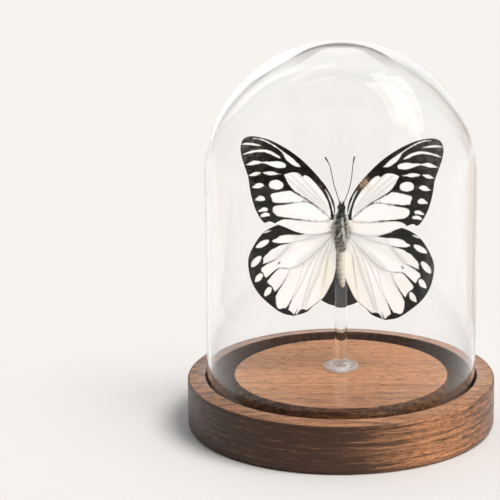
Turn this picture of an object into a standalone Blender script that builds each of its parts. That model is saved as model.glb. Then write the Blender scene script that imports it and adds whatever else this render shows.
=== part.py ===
"""A butterfly set on a clear rod, under a glass dome on a turned wooden base.

Metres, +Z up. The origin is the centre of the base's underside, and the specimen's upper side faces -Y.
"""
import bpy
import bmesh
import math
import numpy as np

NAME = "butterfly_dome"
MM = 0.001
GAP = 0.3 * MM                      # kept between pieces that touch
MERGE = 0.01 * MM

# Base: one turned round with a ring groove and a raised middle.
BASE_RADIUS = 75.0 * MM
BASE_HEIGHT = 25.0 * MM             # underside to rim
TOP_ROUND = 2.2 * MM
FOOT_ROUND = 1.0 * MM
PLATEAU_RADIUS = 52.0 * MM
PLATEAU_RISE = 0.5 * MM             # above the rim
PLATEAU_CHAMFER = 0.6 * MM
GROOVE_RADIUS = 66.3 * MM           # outer wall of the groove
GROOVE_DEPTH = 9.0 * MM
BASE_SEGMENTS = 64

# Dome: a straight wall under a half sphere, open below, its blown wall thicker at the shoulder than at the foot.
DOME_RADIUS = 65.5 * MM
GLASS_WALL = 1.6 * MM
SHOULDER_SWELL = 1.8 * MM           # added to the wall over the shoulder
CROWN_THINNING = 0.8 * MM           # taken off again at the top
DOME_TOP = 190.9 * MM
DOME_SEGMENTS = 56
DOME_ARC_STEPS = 10

# Rod, its foot and the plate behind it, all a little behind the middle.
ROD_BACK = 6.5 * MM
ROD_RADIUS = 3.0 * MM
ROD_TOP = 104.0 * MM
FOOT_RADIUS = 8.5 * MM
FOOT_THICKNESS = 1.6 * MM
COLLAR_RADIUS = 4.6 * MM
COLLAR_HEIGHT = 3.6 * MM
DISC_RADIUS = 16.2 * MM
DISC_THICKNESS = 1.5 * MM
DISC_HEIGHT = 72.45 * MM            # centre above the underside
SMALL_ROUND = 0.4 * MM
ROUND_SEGMENTS = 24
DISC_SEGMENTS = 40

# Specimen, measured from the middle of its thorax.
THORAX = (0.0, ROD_BACK - 6.7 * MM, 99.7 * MM)
ROLL = math.radians(1.2)            # the right side hangs a little lower
WING_DEPTH = -0.9 * MM              # wing roots, in front of the middle of the thorax
WING_RAISE = -0.10                  # how the wings come forward away from the body
WING_FLATTEN = 0.9 / 1000 / MM      # and level out towards their tips
HINDWING_DROP = 0.8 * MM            # hindwings lie behind the forewings
WING_THICKNESS = 0.4 * MM
WING_STATIONS = 26
WING_RUNGS = 6
BODY_SEGMENTS = 20
ANTENNA_RADIUS = 0.32 * MM
CLUB_SWELL = 1.7
ANTENNA_POINTS = 14
LEG_RADIUS = 0.35 * MM
LEG_TAPER = 0.7
LEG_POINTS = 8

# Body outline as (radius, height), head down to the tip of the abdomen, in mm.
BODY_PROFILE = [
    (0.0, 12.0), (1.1, 11.7), (1.8, 10.8), (2.0, 9.6), (1.7, 8.2), (1.25, 7.4), (2.1, 6.2), (2.9, 3.8),
    (3.25, 0.8), (3.3, -2.0), (2.9, -5.4), (2.1, -8.2), (1.6, -9.6), (1.9, -11.6), (2.2, -14.5), (2.2, -19.0),
    (2.0, -23.5), (1.6, -27.2), (0.9, -29.8), (0.0, -30.6)]

# Wing outlines in mm, as (out from the middle, up from the thorax), from the root to where the edges meet.
FOREWING_FRONT = [
    (3.7, 4.0), (3.0, 8.2), (3.6, 12.4), (5.0, 15.9), (7.5, 20.3), (10.0, 23.6), (15.0, 29.4),
    (20.0, 34.3), (25.0, 38.2), (30.0, 41.4), (35.0, 44.0), (40.0, 45.6), (44.0, 46.1), (46.8, 45.4),
    (48.4, 43.4), (49.0, 40.0)]
FOREWING_REAR = [
    (3.7, -1.0), (7.0, -2.2), (12.0, -3.2), (17.0, -3.0), (22.0, -1.8), (26.5, 0.2), (31.0, 1.9),
    (34.5, 3.2), (36.8, 2.5), (39.0, 4.8), (41.5, 9.5), (43.3, 15.0), (44.2, 20.0), (44.9, 25.0),
    (46.6, 30.5), (48.2, 35.5), (49.0, 40.0)]
HINDWING_FRONT = [
    (3.8, 2.6), (10.0, 4.6), (20.0, 3.6), (27.0, 2.2), (33.0, 0.3), (38.0, -3.4), (42.0, -9.4),
    (44.4, -15.5), (44.2, -22.0), (42.6, -28.0), (39.2, -33.8), (34.0, -39.0), (28.0, -43.3),
    (22.0, -44.9)]
HINDWING_REAR = [
    (3.8, -2.6), (3.5, -5.8), (2.8, -10.0), (2.8, -18.0), (3.0, -24.0), (4.6, -29.2), (7.0, -34.4),
    (9.6, -37.4), (13.0, -40.2), (16.0, -43.0), (22.0, -44.9)]

# The right wings were set a touch differently: out, up to out, and out to up, up.
LEFT_SETTING = ((1.0, 0.0), (0.0, 1.0))
RIGHT_FOREWING_SETTING = ((1.0, -0.018), (0.0, 1.015))
RIGHT_HINDWING_SETTING = ((1.02, 0.0), (-0.027, 1.01))

# Antennae and legs as (out, back, up) in mm.
LEFT_ANTENNA = [
    (0.9, -0.9, 12.1), (2.2, -1.6, 16.5), (3.5, -2.2, 20.5), (4.5, -2.6, 24.5), (5.2, -2.8, 27.8),
    (6.0, -2.9, 31.0), (7.2, -2.9, 33.5), (8.6, -2.8, 35.6)]
RIGHT_ANTENNA = [
    (1.0, -0.9, 12.0), (2.0, -1.5, 15.0), (3.2, -2.0, 18.5), (4.0, -2.3, 22.0), (4.6, -2.5, 26.0),
    (4.9, -2.7, 30.0), (5.2, -2.7, 33.0), (5.8, -2.6, 36.2)]
LEGS = {
    "middle_leg": [
        (3.5, 1.9, 1.5), (4.6, 2.6, 4.4), (5.8, 3.6, 7.0), (5.0, 4.6, 4.0), (4.4, 5.2, 1.2),
        (4.5, 5.3, -2.0)],
    "hind_leg": [
        (3.5, 2.0, -3.0), (4.6, 2.8, -6.4), (5.6, 3.8, -9.5), (4.9, 4.7, -7.2), (4.3, 5.4, -5.2),
        (4.4, 6.2, -8.4)]}


def clear_scene():
    """Remove whatever the file held."""
    for thing in list(bpy.data.objects):
        bpy.data.objects.remove(thing, do_unlink=True)


def material(name, colour, roughness, metallic=0.0, transmission=0.0, ior=1.5):
    """One Principled finish."""
    finish = bpy.data.materials.new(name)
    finish.use_nodes = True
    shader = finish.node_tree.nodes["Principled BSDF"]
    shader.inputs["Base Color"].default_value = (*colour, 1.0)
    shader.inputs["Roughness"].default_value = roughness
    shader.inputs["Metallic"].default_value = metallic
    shader.inputs["Transmission Weight"].default_value = transmission
    shader.inputs["IOR"].default_value = ior
    finish.diffuse_color = (*colour, 1.0)
    return finish


def place(piece, finish, parent=None):
    """Put an object in the part's collection with its finish."""
    parts.objects.link(piece)
    piece.data.materials.append(finish)
    piece.parent = parent
    return piece


def turned(name, profile, finish, segments, centre=(0.0, 0.0, 0.0), parent=None):
    """Turn a profile of (radius, height) points, listed from the top down its outer side, about +Z."""
    mesh = bpy.data.meshes.new(name)
    points = [(radius, 0.0, height) for radius, height in profile]
    edges = [(i, i + 1) for i in range(len(points) - 1)]
    mesh.from_pydata(points, edges, [])
    piece = place(bpy.data.objects.new(name, mesh), finish, parent)
    piece.location = centre
    screw = piece.modifiers.new("Turn", "SCREW")
    screw.steps = segments
    screw.render_steps = segments
    screw.use_merge_vertices = True
    screw.merge_threshold = MERGE
    screw.use_smooth_shade = True
    return piece


def arc(centre_radius, centre_height, radius, start, stop, steps):
    """Points of a profile's arc, angles in degrees from straight out towards straight up."""
    angles = [math.radians(start + (stop - start) * i / steps) for i in range(steps + 1)]
    return [(centre_radius + radius * math.cos(a), centre_height + radius * math.sin(a)) for a in angles]


def shoulder(radius, height, steps):
    """A softened upper corner of a profile."""
    return arc(radius - SMALL_ROUND, height - SMALL_ROUND, SMALL_ROUND, 90, 0, steps)


def make_base(finish):
    """The wooden round: its raised middle, the groove, the rim, the outside and the underside."""
    plateau_top = BASE_HEIGHT + PLATEAU_RISE
    groove_floor = BASE_HEIGHT - GROOVE_DEPTH
    lip = 0.3 * MM
    profile = [
        (0.0, plateau_top), (PLATEAU_RADIUS - PLATEAU_CHAMFER, plateau_top),
        (PLATEAU_RADIUS, plateau_top - PLATEAU_CHAMFER), (PLATEAU_RADIUS, groove_floor),
        (GROOVE_RADIUS, groove_floor),
        (GROOVE_RADIUS, BASE_HEIGHT - lip), (GROOVE_RADIUS + lip, BASE_HEIGHT),
        *arc(BASE_RADIUS - TOP_ROUND, BASE_HEIGHT - TOP_ROUND, TOP_ROUND, 90, 0, 4),
        *arc(BASE_RADIUS - FOOT_ROUND, FOOT_ROUND, FOOT_ROUND, 0, -90, 3), (0.0, 0.0)]
    return turned("wooden_base", profile, finish, BASE_SEGMENTS)


def ease(share):
    """0 below 0, 1 above 1 and an S curve between."""
    share = min(max(share, 0.0), 1.0)
    return share * share * (3.0 - 2.0 * share)


def make_dome(finish):
    """The glass, down its outside to the open foot and back up its inside."""
    foot = BASE_HEIGHT - GROOVE_DEPTH + GAP
    spring = DOME_TOP - DOME_RADIUS
    edge = GLASS_WALL / 2
    inside = []
    for i in range(DOME_ARC_STEPS + 1):
        rise = i / DOME_ARC_STEPS
        wall = GLASS_WALL + SHOULDER_SWELL * ease(rise / 0.45 - 0.1) - CROWN_THINNING * ease(rise * 2.5 - 1.5)
        turn = math.radians(90 * rise)
        inner = DOME_RADIUS - wall
        inside.append((inner * math.cos(turn), spring + inner * math.sin(turn)))
    profile = [
        *arc(0.0, spring, DOME_RADIUS, 90, 0, DOME_ARC_STEPS),
        *arc(DOME_RADIUS - edge, foot + edge, edge, 0, -180, 4), *inside]
    profile[0] = (0.0, DOME_TOP)
    profile[-1] = (0.0, inside[-1][1])
    return turned("glass_dome", profile, finish, DOME_SEGMENTS)


def make_stand(clear, dark):
    """The rod in its flanged foot, on the raised middle, and the plate on the rod's far side."""
    seat = BASE_HEIGHT + PLATEAU_RISE + GAP
    bore = ROD_RADIUS + GAP
    flange_top = seat + FOOT_THICKNESS
    collar_top = seat + COLLAR_HEIGHT
    foot = [
        (bore, collar_top), *shoulder(COLLAR_RADIUS, collar_top, 2), (COLLAR_RADIUS, flange_top),
        *shoulder(FOOT_RADIUS, flange_top, 2), (FOOT_RADIUS, seat), (bore, seat), (bore, collar_top)]
    stand = (0.0, ROD_BACK, 0.0)
    turned("rod_foot", foot, clear, ROUND_SEGMENTS, stand)
    rod = [(0.0, ROD_TOP), *shoulder(ROD_RADIUS, ROD_TOP, 3), (ROD_RADIUS, seat), (0.0, seat)]
    turned("support_rod", rod, clear, ROUND_SEGMENTS, stand)
    half = DISC_THICKNESS / 2
    disc = [
        (0.0, half), *shoulder(DISC_RADIUS, half, 2),
        *arc(DISC_RADIUS - SMALL_ROUND, SMALL_ROUND - half, SMALL_ROUND, 0, -90, 2), (0.0, -half)]
    behind_rod = (0.0, ROD_BACK + ROD_RADIUS + GAP + half, DISC_HEIGHT)
    plate = turned("backing_disc", disc, dark, DISC_SEGMENTS, behind_rod)
    plate.rotation_euler = (math.radians(90), 0.0, 0.0)


def smooth_path(points, count):
    """Points evenly spaced along the curve that runs smoothly (Catmull-Rom) through the given ones."""
    points = np.array(points, float)
    ends = np.vstack([2 * points[0] - points[1], points, 2 * points[-1] - points[-2]])
    t = np.linspace(0, 1, 12, endpoint=False)[:, None]
    spans = []
    for a, b, c, d in zip(ends, ends[1:], ends[2:], ends[3:]):
        square = (2 * a - 5 * b + 4 * c - d) * t**2
        cube = (3 * b - a - 3 * c + d) * t**3
        spans.append(0.5 * (2 * b + (c - a) * t + square + cube))
    fine = np.vstack([*spans, points[-1:]])
    along = np.concatenate([[0.0], np.cumsum(np.linalg.norm(np.diff(fine, axis=0), axis=1))])
    stops = np.linspace(0, along[-1], count)
    return np.stack([np.interp(stops, along, fine[:, k]) for k in range(fine.shape[1])], axis=1)


def wing_depth(out, behind):
    """How far back a wing lies at a distance out from the middle of the body."""
    return WING_DEPTH + behind + WING_RAISE * out + WING_FLATTEN * out**2


def make_wing(name, side, front, rear, setting, behind, finish, specimen):
    """A thin bowed membrane lofted between its front and rear edges, which meet at its far end."""
    front = smooth_path(front, WING_STATIONS) * MM
    rear = smooth_path(rear, WING_STATIONS) * MM
    share = np.linspace(0, 1, WING_RUNGS)[None, :, None]
    flat = front[:, None] * (1 - share) + rear[:, None] * share
    (out_out, up_out), (out_up, up_up) = setting
    out = flat[..., 0] * out_out + flat[..., 1] * up_out
    up = flat[..., 0] * out_up + flat[..., 1] * up_up
    points = np.stack([side * out, wing_depth(out, behind), up], axis=-1).reshape(-1, 3)
    corner = (np.arange(WING_STATIONS - 1)[:, None] * WING_RUNGS + np.arange(WING_RUNGS - 1)).ravel()
    quads = np.stack([corner, corner + 1, corner + 1 + WING_RUNGS, corner + WING_RUNGS], axis=1)
    mesh = bpy.data.meshes.new(name)
    mesh.from_pydata(points.tolist(), [], quads.tolist())
    tidy = bmesh.new()
    tidy.from_mesh(mesh)
    bmesh.ops.remove_doubles(tidy, verts=tidy.verts, dist=MERGE)
    tidy.to_mesh(mesh)
    tidy.free()
    mesh.shade_smooth()
    piece = place(bpy.data.objects.new(name, mesh), finish, specimen)
    wall = piece.modifiers.new("Membrane", "SOLIDIFY")
    wall.thickness = WING_THICKNESS
    wall.offset = 0.0
    return piece


def make_limb(name, side, path, radius, swell, count, finish, specimen):
    """A thin round limb along a path, with an end that swells."""
    points = smooth_path(path, count) * MM
    curve = bpy.data.curves.new(name, "CURVE")
    curve.dimensions = "3D"
    curve.bevel_depth = radius
    curve.bevel_resolution = 2
    curve.use_fill_caps = True
    line = curve.splines.new("POLY")
    line.points.add(count - 1)
    for i, (out, back, up) in enumerate(points):
        line.points[i].co = (side * out, back, up, 1.0)
        line.points[i].radius = 1.0 + (swell - 1.0) * max(0.0, 4 * i / (count - 1) - 3)
    return place(bpy.data.objects.new(name, curve), finish, specimen)


def make_specimen(wing_finish, body_finish, limb_finish):
    """The butterfly: body, four wings, two antennae and four folded legs, all hung from one empty."""
    specimen = bpy.data.objects.new("specimen", None)
    parts.objects.link(specimen)
    specimen.location = THORAX
    specimen.rotation_euler = (0.0, ROLL, 0.0)
    body = [(radius * MM, height * MM) for radius, height in BODY_PROFILE]
    turned("butterfly_body", body, body_finish, BODY_SEGMENTS, parent=specimen)
    fore_edges = (FOREWING_FRONT, FOREWING_REAR)
    hind_edges = (HINDWING_FRONT, HINDWING_REAR)
    feeler = (ANTENNA_RADIUS, CLUB_SWELL, ANTENNA_POINTS)
    leg_form = (LEG_RADIUS, LEG_TAPER, LEG_POINTS)
    for side, word, fore, hind, antenna in (
            (-1, "left", LEFT_SETTING, LEFT_SETTING, LEFT_ANTENNA),
            (1, "right", RIGHT_FOREWING_SETTING, RIGHT_HINDWING_SETTING, RIGHT_ANTENNA)):
        make_wing(f"{word}_forewing", side, *fore_edges, fore, 0.0, wing_finish, specimen)
        make_wing(f"{word}_hindwing", side, *hind_edges, hind, HINDWING_DROP, wing_finish, specimen)
        make_limb(f"{word}_antenna", side, antenna, *feeler, limb_finish, specimen)
        for leg, path in LEGS.items():
            make_limb(f"{word}_{leg}", side, path, *leg_form, limb_finish, specimen)


clear_scene()
parts = bpy.data.collections.new(NAME)
bpy.context.scene.collection.children.link(parts)
walnut = material("walnut", (0.22, 0.11, 0.06), 0.45)
glass = material("glass", (0.97, 0.98, 0.98), 0.03, transmission=1.0, ior=1.46)
acrylic = material("acrylic", (0.96, 0.96, 0.96), 0.06, transmission=1.0, ior=1.49)
charcoal = material("charcoal", (0.035, 0.034, 0.036), 0.6)
wing_scales = material("wing_scales", (0.85, 0.84, 0.80), 0.8)
body_hair = material("body_hair", (0.35, 0.32, 0.27), 0.9)
chitin = material("chitin", (0.05, 0.045, 0.04), 0.5)
make_base(walnut)
make_dome(glass)
make_stand(acrylic, charcoal)
make_specimen(wing_scales, body_hair, chitin)
bpy.context.view_layer.update()
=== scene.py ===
"""A spread butterfly on a clear rod, under a glass dome on a turned walnut base.

Laid out as an add-on: settings, one operator for each group of pieces and one for the stage, and a panel.
Sizes are in metres unless a name or a comment says mm. The specimen's upper side faces -Y.
"""
import math

import bpy
import numpy as np
from mathutils import Matrix, Vector
from bpy.props import FloatProperty, FloatVectorProperty, IntProperty, PointerProperty
from bpy.types import Operator, Panel, PropertyGroup


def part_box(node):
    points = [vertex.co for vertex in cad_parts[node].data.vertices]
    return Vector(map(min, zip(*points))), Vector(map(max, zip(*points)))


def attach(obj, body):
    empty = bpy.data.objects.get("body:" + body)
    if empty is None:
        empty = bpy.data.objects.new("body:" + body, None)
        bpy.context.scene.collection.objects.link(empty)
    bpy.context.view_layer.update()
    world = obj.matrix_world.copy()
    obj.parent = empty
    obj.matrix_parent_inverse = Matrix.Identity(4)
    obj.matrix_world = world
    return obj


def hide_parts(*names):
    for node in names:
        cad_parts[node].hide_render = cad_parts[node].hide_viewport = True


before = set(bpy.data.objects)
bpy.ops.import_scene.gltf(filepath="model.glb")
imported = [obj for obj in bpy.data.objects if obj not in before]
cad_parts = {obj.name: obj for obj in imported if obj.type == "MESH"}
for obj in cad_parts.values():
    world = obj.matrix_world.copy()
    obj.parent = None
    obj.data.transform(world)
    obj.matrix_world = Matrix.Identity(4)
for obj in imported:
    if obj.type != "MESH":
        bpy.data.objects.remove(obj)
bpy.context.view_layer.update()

bl_info = {
    "name": "Butterfly Dome",
    "version": (1, 0, 0),
    "blender": (4, 5, 0),
    "location": "3D View > Sidebar > Butterfly Dome",
    "description": "Builds a set butterfly under a glass dome on a walnut base",
    "category": "Add Mesh",
}

MM = 0.001
POINT = 1e-7                        # rows narrower than this are poles
SHORT = 1e-9                        # keeps a side of no length from dividing by 0
RIPPLE_SUM = 3.4                    # what a few octaves of sines come to
TOOL_MARK = 0.012 * MM              # depth and pitch of the marks on the base's raised middle
TOOL_PITCH = 1.7 * MM
DOME_ROWS = 72                      # rows of the half sphere and of the straight wall
WALL_ROWS = 60
LIT_GROUPS = {"walnut": "wood", "wing_scales": "specimen", "body_hair": "specimen", "chitin": "specimen"}


def corners(node):
    """A node's lowest and highest corners as arrays."""
    low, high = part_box(node)
    return np.array(low), np.array(high)


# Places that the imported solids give.
BASE_HIGH = corners("wooden_base")[1]
DOME_LOW, DOME_HIGH = corners("glass_dome")
ROD_LOW, ROD_HIGH = corners("support_rod")
FOOT_LOW, FOOT_HIGH = corners("rod_foot")
DISC_LOW, DISC_HIGH = corners("backing_disc")
BODY_LOW, BODY_HIGH = corners("butterfly_body")
ROD_CENTRE = (ROD_LOW[:2] + ROD_HIGH[:2]) / 2
BODY_RISE = 12.0 * MM               # crown of the head over the middle of the thorax
THORAX = np.array([0.0, (BODY_LOW[1] + BODY_HIGH[1]) / 2, BODY_HIGH[2] - BODY_RISE])
ROLL = math.radians(1.2)            # the right side hangs a little lower

# How the wings lie, in mm from the middle of the thorax: back = depth + raise * out + flatten * out squared.
WING_DEPTH = -0.9
WING_RAISE = -0.10
WING_FLATTEN = 0.0009
HINDWING_DROP = 0.8
VEIN_SPREAD = 0.28                  # half width of a vein's ridge
EDGE_WAVE = 0.10                    # how far the markings' edges waver
RUBBED_RADIUS = 2.6                 # the patch that is rubbed to rust on the right forewing

# The photographed view: the camera looks down at the dome's axis, which stands right of the picture's middle.
CAMERA_DISTANCE = 1.5
CAMERA_PITCH = math.radians(16.7)
CAMERA_AIM = 0.088
FRAME_PIXELS = 500
FOCAL_PIXELS = 3100
AXIS_COLUMN = 341
SENSOR = 36.0


# Shader maths

MIX_FACTOR, MIX_ONE, MIX_OTHER, MIX_RESULT = 0, 6, 7, 2     # a Mix node's sockets for colours


class Value:
    """A value in a shader, on which arithmetic adds Math nodes."""

    def __init__(self, tree, socket):
        self.tree = tree
        self.socket = socket

    def math(self, operation, *others, clamp=False):
        return self.tree.node("ShaderNodeMath", {"operation": operation, "use_clamp": clamp}, self, *others)

    def __add__(self, other):
        return self.math("ADD", other)

    def __sub__(self, other):
        return self.math("SUBTRACT", other)

    def __rsub__(self, other):
        return self.tree.node("ShaderNodeMath", {"operation": "SUBTRACT"}, other, self)

    def __mul__(self, other):
        return self.math("MULTIPLY", other)

    def __truediv__(self, other):
        return self.math("DIVIDE", other)

    def __pow__(self, other):
        return self.math("POWER", other)

    __radd__ = __add__
    __rmul__ = __mul__

    def step(self, low, high, start=0.0):
        """The start below low, 1 above high and an S curve between; low may be the larger."""
        settings = {"interpolation_type": "SMOOTHSTEP", "clamp": True}
        return self.tree.node("ShaderNodeMapRange", settings, self, low, high, start, 1.0)


class Tree:
    """A node tree under construction."""

    def __init__(self, node_tree):
        self.nodes = node_tree.nodes
        self.links = node_tree.links

    def plug(self, value, socket):
        """Link a value to an input, or set the input to a number or a colour."""
        if isinstance(value, Value):
            self.links.new(value.socket, socket)
        elif socket.type == "RGBA" and hasattr(value, "__len__"):
            socket.default_value = (*value[:3], 1.0)
        else:
            socket.default_value = value

    def node(self, kind, settings, *values, output=0, **named):
        """Add a node: its settings first, then its inputs in order or by name. Returns one output."""
        made = self.nodes.new(kind)
        for key, value in settings.items():
            setattr(made, key, value)
        for socket, value in zip(made.inputs, values):
            self.plug(value, socket)
        for name, value in named.items():
            self.plug(value, made.inputs[name.replace("_", " ")])
        return Value(self, made.outputs[output])

    def mix(self, share, one, other):
        """A colour, or a vector, between two."""
        made = self.nodes.new("ShaderNodeMix")
        made.data_type = "RGBA"
        for place, value in ((MIX_FACTOR, share), (MIX_ONE, one), (MIX_OTHER, other)):
            self.plug(value, made.inputs[place])
        return Value(self, made.outputs[MIX_RESULT])

    def banded(self, value, tint, *bands):
        """The first tint, then each band's own, which takes over as the value goes from low to high."""
        for low, high, other in bands:
            tint = self.mix(value.step(low, high), tint, other)
        return tint


class Finish(Tree):
    """A material under construction, ending in one Principled shader."""

    def __init__(self, name, colour, roughness, **constants):
        self.material = bpy.data.materials.new(name)
        self.material.use_nodes = True
        super().__init__(self.material.node_tree)
        self.shader = self.nodes["Principled BSDF"]
        self.output = self.nodes["Material Output"]
        self.set("Base Color", colour)
        self.set("Roughness", roughness)
        for socket, value in constants.items():
            self.set(socket.replace("_", " "), value)
        self.material.diffuse_color = (*colour[:3], 1.0)

    def set(self, socket, value):
        """Set or link one input of the Principled shader."""
        self.plug(value, self.shader.inputs[socket])

    def place(self, scale=(1.0, 1.0, 1.0), offset=(0.0, 0.0, 0.0), turn=(0.0, 0.0, 0.0)):
        """Object coordinates, moved, turned and stretched by a Mapping node."""
        where = self.node("ShaderNodeTexCoord", {}, output="Object")
        return self.node("ShaderNodeMapping", {"vector_type": "POINT"}, where, offset, turn, scale)

    def split(self, vector, names):
        """Some of a vector's three numbers."""
        made = self.node("ShaderNodeSeparateXYZ", {}, vector).socket.node
        return [Value(self, made.outputs[name]) for name in names]

    def radius(self):
        """Distance from the upright axis."""
        level = self.place((1.0, 1.0, 0.0))
        return self.node("ShaderNodeVectorMath", {"operation": "LENGTH"}, level, output="Value")

    def noise(self, where, scale, detail=2.0, roughness=0.5):
        """Soft noise between 0 and 1."""
        return self.node(
            "ShaderNodeTexNoise", {}, Vector=where, Scale=scale, Detail=detail, Roughness=roughness)

    def attribute(self, name):
        """A number that the mesh holds at its points."""
        return self.node("ShaderNodeAttribute", {"attribute_name": name}, output="Fac")

    def bump(self, height, distance, strength):
        """Feed a height into the shader's normal."""
        relief = self.node("ShaderNodeBump", {}, Strength=strength, Distance=distance, Height=height)
        self.set("Normal", relief)

    def clear_to_lamps(self, tint):
        """Let lamps shine through, so that what stands behind the glass is lit."""
        see_through = self.node("ShaderNodeBsdfTransparent", {}, tint)
        shadow = self.node("ShaderNodeLightPath", {}, output="Is Shadow Ray")
        skin = Value(self, self.shader.outputs[0])
        either = self.node("ShaderNodeMixShader", {}, shadow, skin, see_through)
        self.plug(either, self.output.inputs["Surface"])


# Settings

def colour_setting(name, description, default):
    """A colour that a user may change."""
    return FloatVectorProperty(
        name=name, description=description, subtype="COLOR", size=3, min=0.0, max=1.0, default=default)


def length_setting(name, description, default):
    """A length that a user may change."""
    return FloatProperty(name=name, description=description, unit="LENGTH", min=0.0, default=default)


def amount_setting(name, description, default):
    """A strength or share that a user may change."""
    return FloatProperty(name=name, description=description, min=0.0, default=default)


def index_setting(default):
    """A clear material's index of refraction."""
    return FloatProperty(name="Index", description="Index of refraction", min=1.0, max=2.0, default=default)


class BaseSettings(PropertyGroup):
    plateau_radius: length_setting("Middle radius", "Radius of the raised middle", 52.0 * MM)
    plateau_rise: length_setting("Middle rise", "How far the middle stands over the rim", 0.5 * MM)
    groove_radius: length_setting("Groove radius", "Radius of the groove's outer wall", 66.3 * MM)
    groove_depth: length_setting("Groove depth", "Depth of the groove under the rim", 9.0 * MM)
    foot_round: length_setting("Foot round", "Rounding of the underside's edge", 2.4 * MM)
    top_round: length_setting("Top round", "Rounding of the rim's outer edge", 0.8 * MM)
    rim_fall: length_setting("Rim fall", "How much lower the rim is outside than inside", 0.9 * MM)
    light_wood: colour_setting("Light wood", "Colour between the growth rings", (0.57, 0.27, 0.125))
    # The dark wood also gives the painted shade of the side, the rim and the groove.
    dark_wood: colour_setting("Dark wood", "Colour of the growth rings", (0.052, 0.024, 0.014))


class GlassSettings(PropertyGroup):
    wall: length_setting("Wall", "Thickness of the straight wall", 1.6 * MM)
    shoulder: length_setting("Shoulder", "Added to the wall over the shoulder", 1.8 * MM)
    crown: length_setting("Crown", "Taken off again at the top", 0.2 * MM)
    ripple: length_setting("Ripple", "Slow waves of the blown wall", 0.05 * MM)
    index: index_setting(1.47)
    gleam: colour_setting("Gleam", "Share of the reflection that is kept face on", (0.45, 0.45, 0.45))


class StandSettings(PropertyGroup):
    collar_radius: length_setting("Collar radius", "Radius of the foot's raised collar", 4.6 * MM)
    flange: length_setting("Flange", "Thickness of the foot's flange", 1.9 * MM)
    index: index_setting(1.49)
    board: colour_setting("Board", "Colour of the backing disc", (0.020, 0.020, 0.021))


class WingSettings(PropertyGroup):
    white: colour_setting("White", "Colour of the pale scales", (0.92, 0.915, 0.905))
    cream: colour_setting("Cream", "Tint near the body", (0.84, 0.77, 0.60))
    black: colour_setting("Black", "Colour of the dark scales", (0.006, 0.0055, 0.005))
    brown: colour_setting("Brown", "Colour of the worn dark scales", (0.085, 0.070, 0.052))
    rust: colour_setting("Rust", "Colour of the rubbed patch", (0.36, 0.20, 0.11))
    thickness: length_setting("Thickness", "Thickness of the wings", 0.22 * MM)
    vein_height: length_setting("Vein height", "How far the veins stand out", 0.11 * MM)
    stations: IntProperty(name="Stations", description="Rows from root to tip", min=20, default=250)
    rungs: IntProperty(name="Rungs", description="Columns from front to rear", min=10, default=140)


class BodySettings(PropertyGroup):
    hairs: IntProperty(name="Hairs", description="Number of hairs", min=100, default=5600)
    hair_radius: length_setting("Hair radius", "Radius of a hair at its root", 0.12 * MM)
    dark: colour_setting("Dark", "Colour of the dark hair", (0.008, 0.007, 0.006))
    pale: colour_setting("Pale", "Colour of the pale hair", (0.88, 0.86, 0.80))
    tan: colour_setting("Tan", "Colour of the tufts at the waist", (0.30, 0.24, 0.15))
    abdomen: colour_setting("Abdomen", "Colour of the abdomen", (0.74, 0.70, 0.61))


class StageSettings(PropertyGroup):
    floor: colour_setting("Floor", "Colour of the floor", (0.655, 0.66, 0.665))
    sky: amount_setting("Sky", "Strength of the even light", 0.72)
    shade: amount_setting("Shade", "Share of it behind the camera", 0.05)
    window: amount_setting("Window", "Brightness of the window panes", 3.0)
    key: amount_setting("Key", "Strength of the warm light", 3.0)
    fill: amount_setting("Fill", "Strength of the light on the specimen", 2.5)
    kicker: amount_setting("Kicker", "Brightness of the light on the wood", 6.0)


# Surfaces

def enclosed(points, faces):
    """Six times the volume that triangles or quads enclose; below 0 if they face inwards."""
    a, b, c, d = (points[faces[:, i]] for i in (0, 1, 2, -1))
    return np.einsum("ij,ij->", a, np.cross(b, c)) + np.einsum("ij,ij->", a, np.cross(c, d))


def placed(name, data):
    """A new object for a mesh, a lamp or the camera, in the scene."""
    thing = bpy.data.objects.new(name, data)
    bpy.context.scene.collection.objects.link(thing)
    return thing


def new_piece(name, points, face_sets, finish, node_slot, numbers=None, replaced=()):
    """Put points and faces in a mesh that rides on the root, with numbers at its points as attributes."""
    if sum(enclosed(points, faces) for faces in face_sets) < 0:
        face_sets = [faces[:, ::-1] for faces in face_sets]
    mesh = bpy.data.meshes.new(name)
    mesh.from_pydata(points.tolist(), [], [face for faces in face_sets for face in faces.tolist()])
    for key, values in (numbers or {}).items():
        mesh.attributes.new(key, "FLOAT", "POINT").data.foreach_set("value", values.astype(np.float32))
    mesh.shade_smooth()
    mesh.materials.append(finish.material)
    piece = placed(name, mesh)
    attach(piece, "root")
    if node_slot in LIT_GROUPS:
        lit_group(LIT_GROUPS[node_slot]).objects.link(piece)
    if replaced:
        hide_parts(*replaced)


def new_skin(name, grid, finish, node_slot, names=(), replaced=()):
    """A piece over a closed grid, whose points hold x, y and z and then the numbers of these names."""
    points, faces = tube(grid)
    numbers = {key: points[:, 3 + i] for i, key in enumerate(names)}
    new_piece(name, points[:, :3], faces, finish, node_slot, numbers, replaced)


def wrapped(rows, around, closed_rows):
    """Quads of a grid that wraps round its columns, and round its rows too if they close."""
    row = np.arange(rows if closed_rows else rows - 1)[:, None]
    column = np.arange(around)[None, :]
    after = (column + 1) % around
    here, there = row * around, ((row + 1) % rows) * around
    return np.stack([here + column, here + after, there + after, there + column], axis=-1).reshape(-1, 4)


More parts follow.
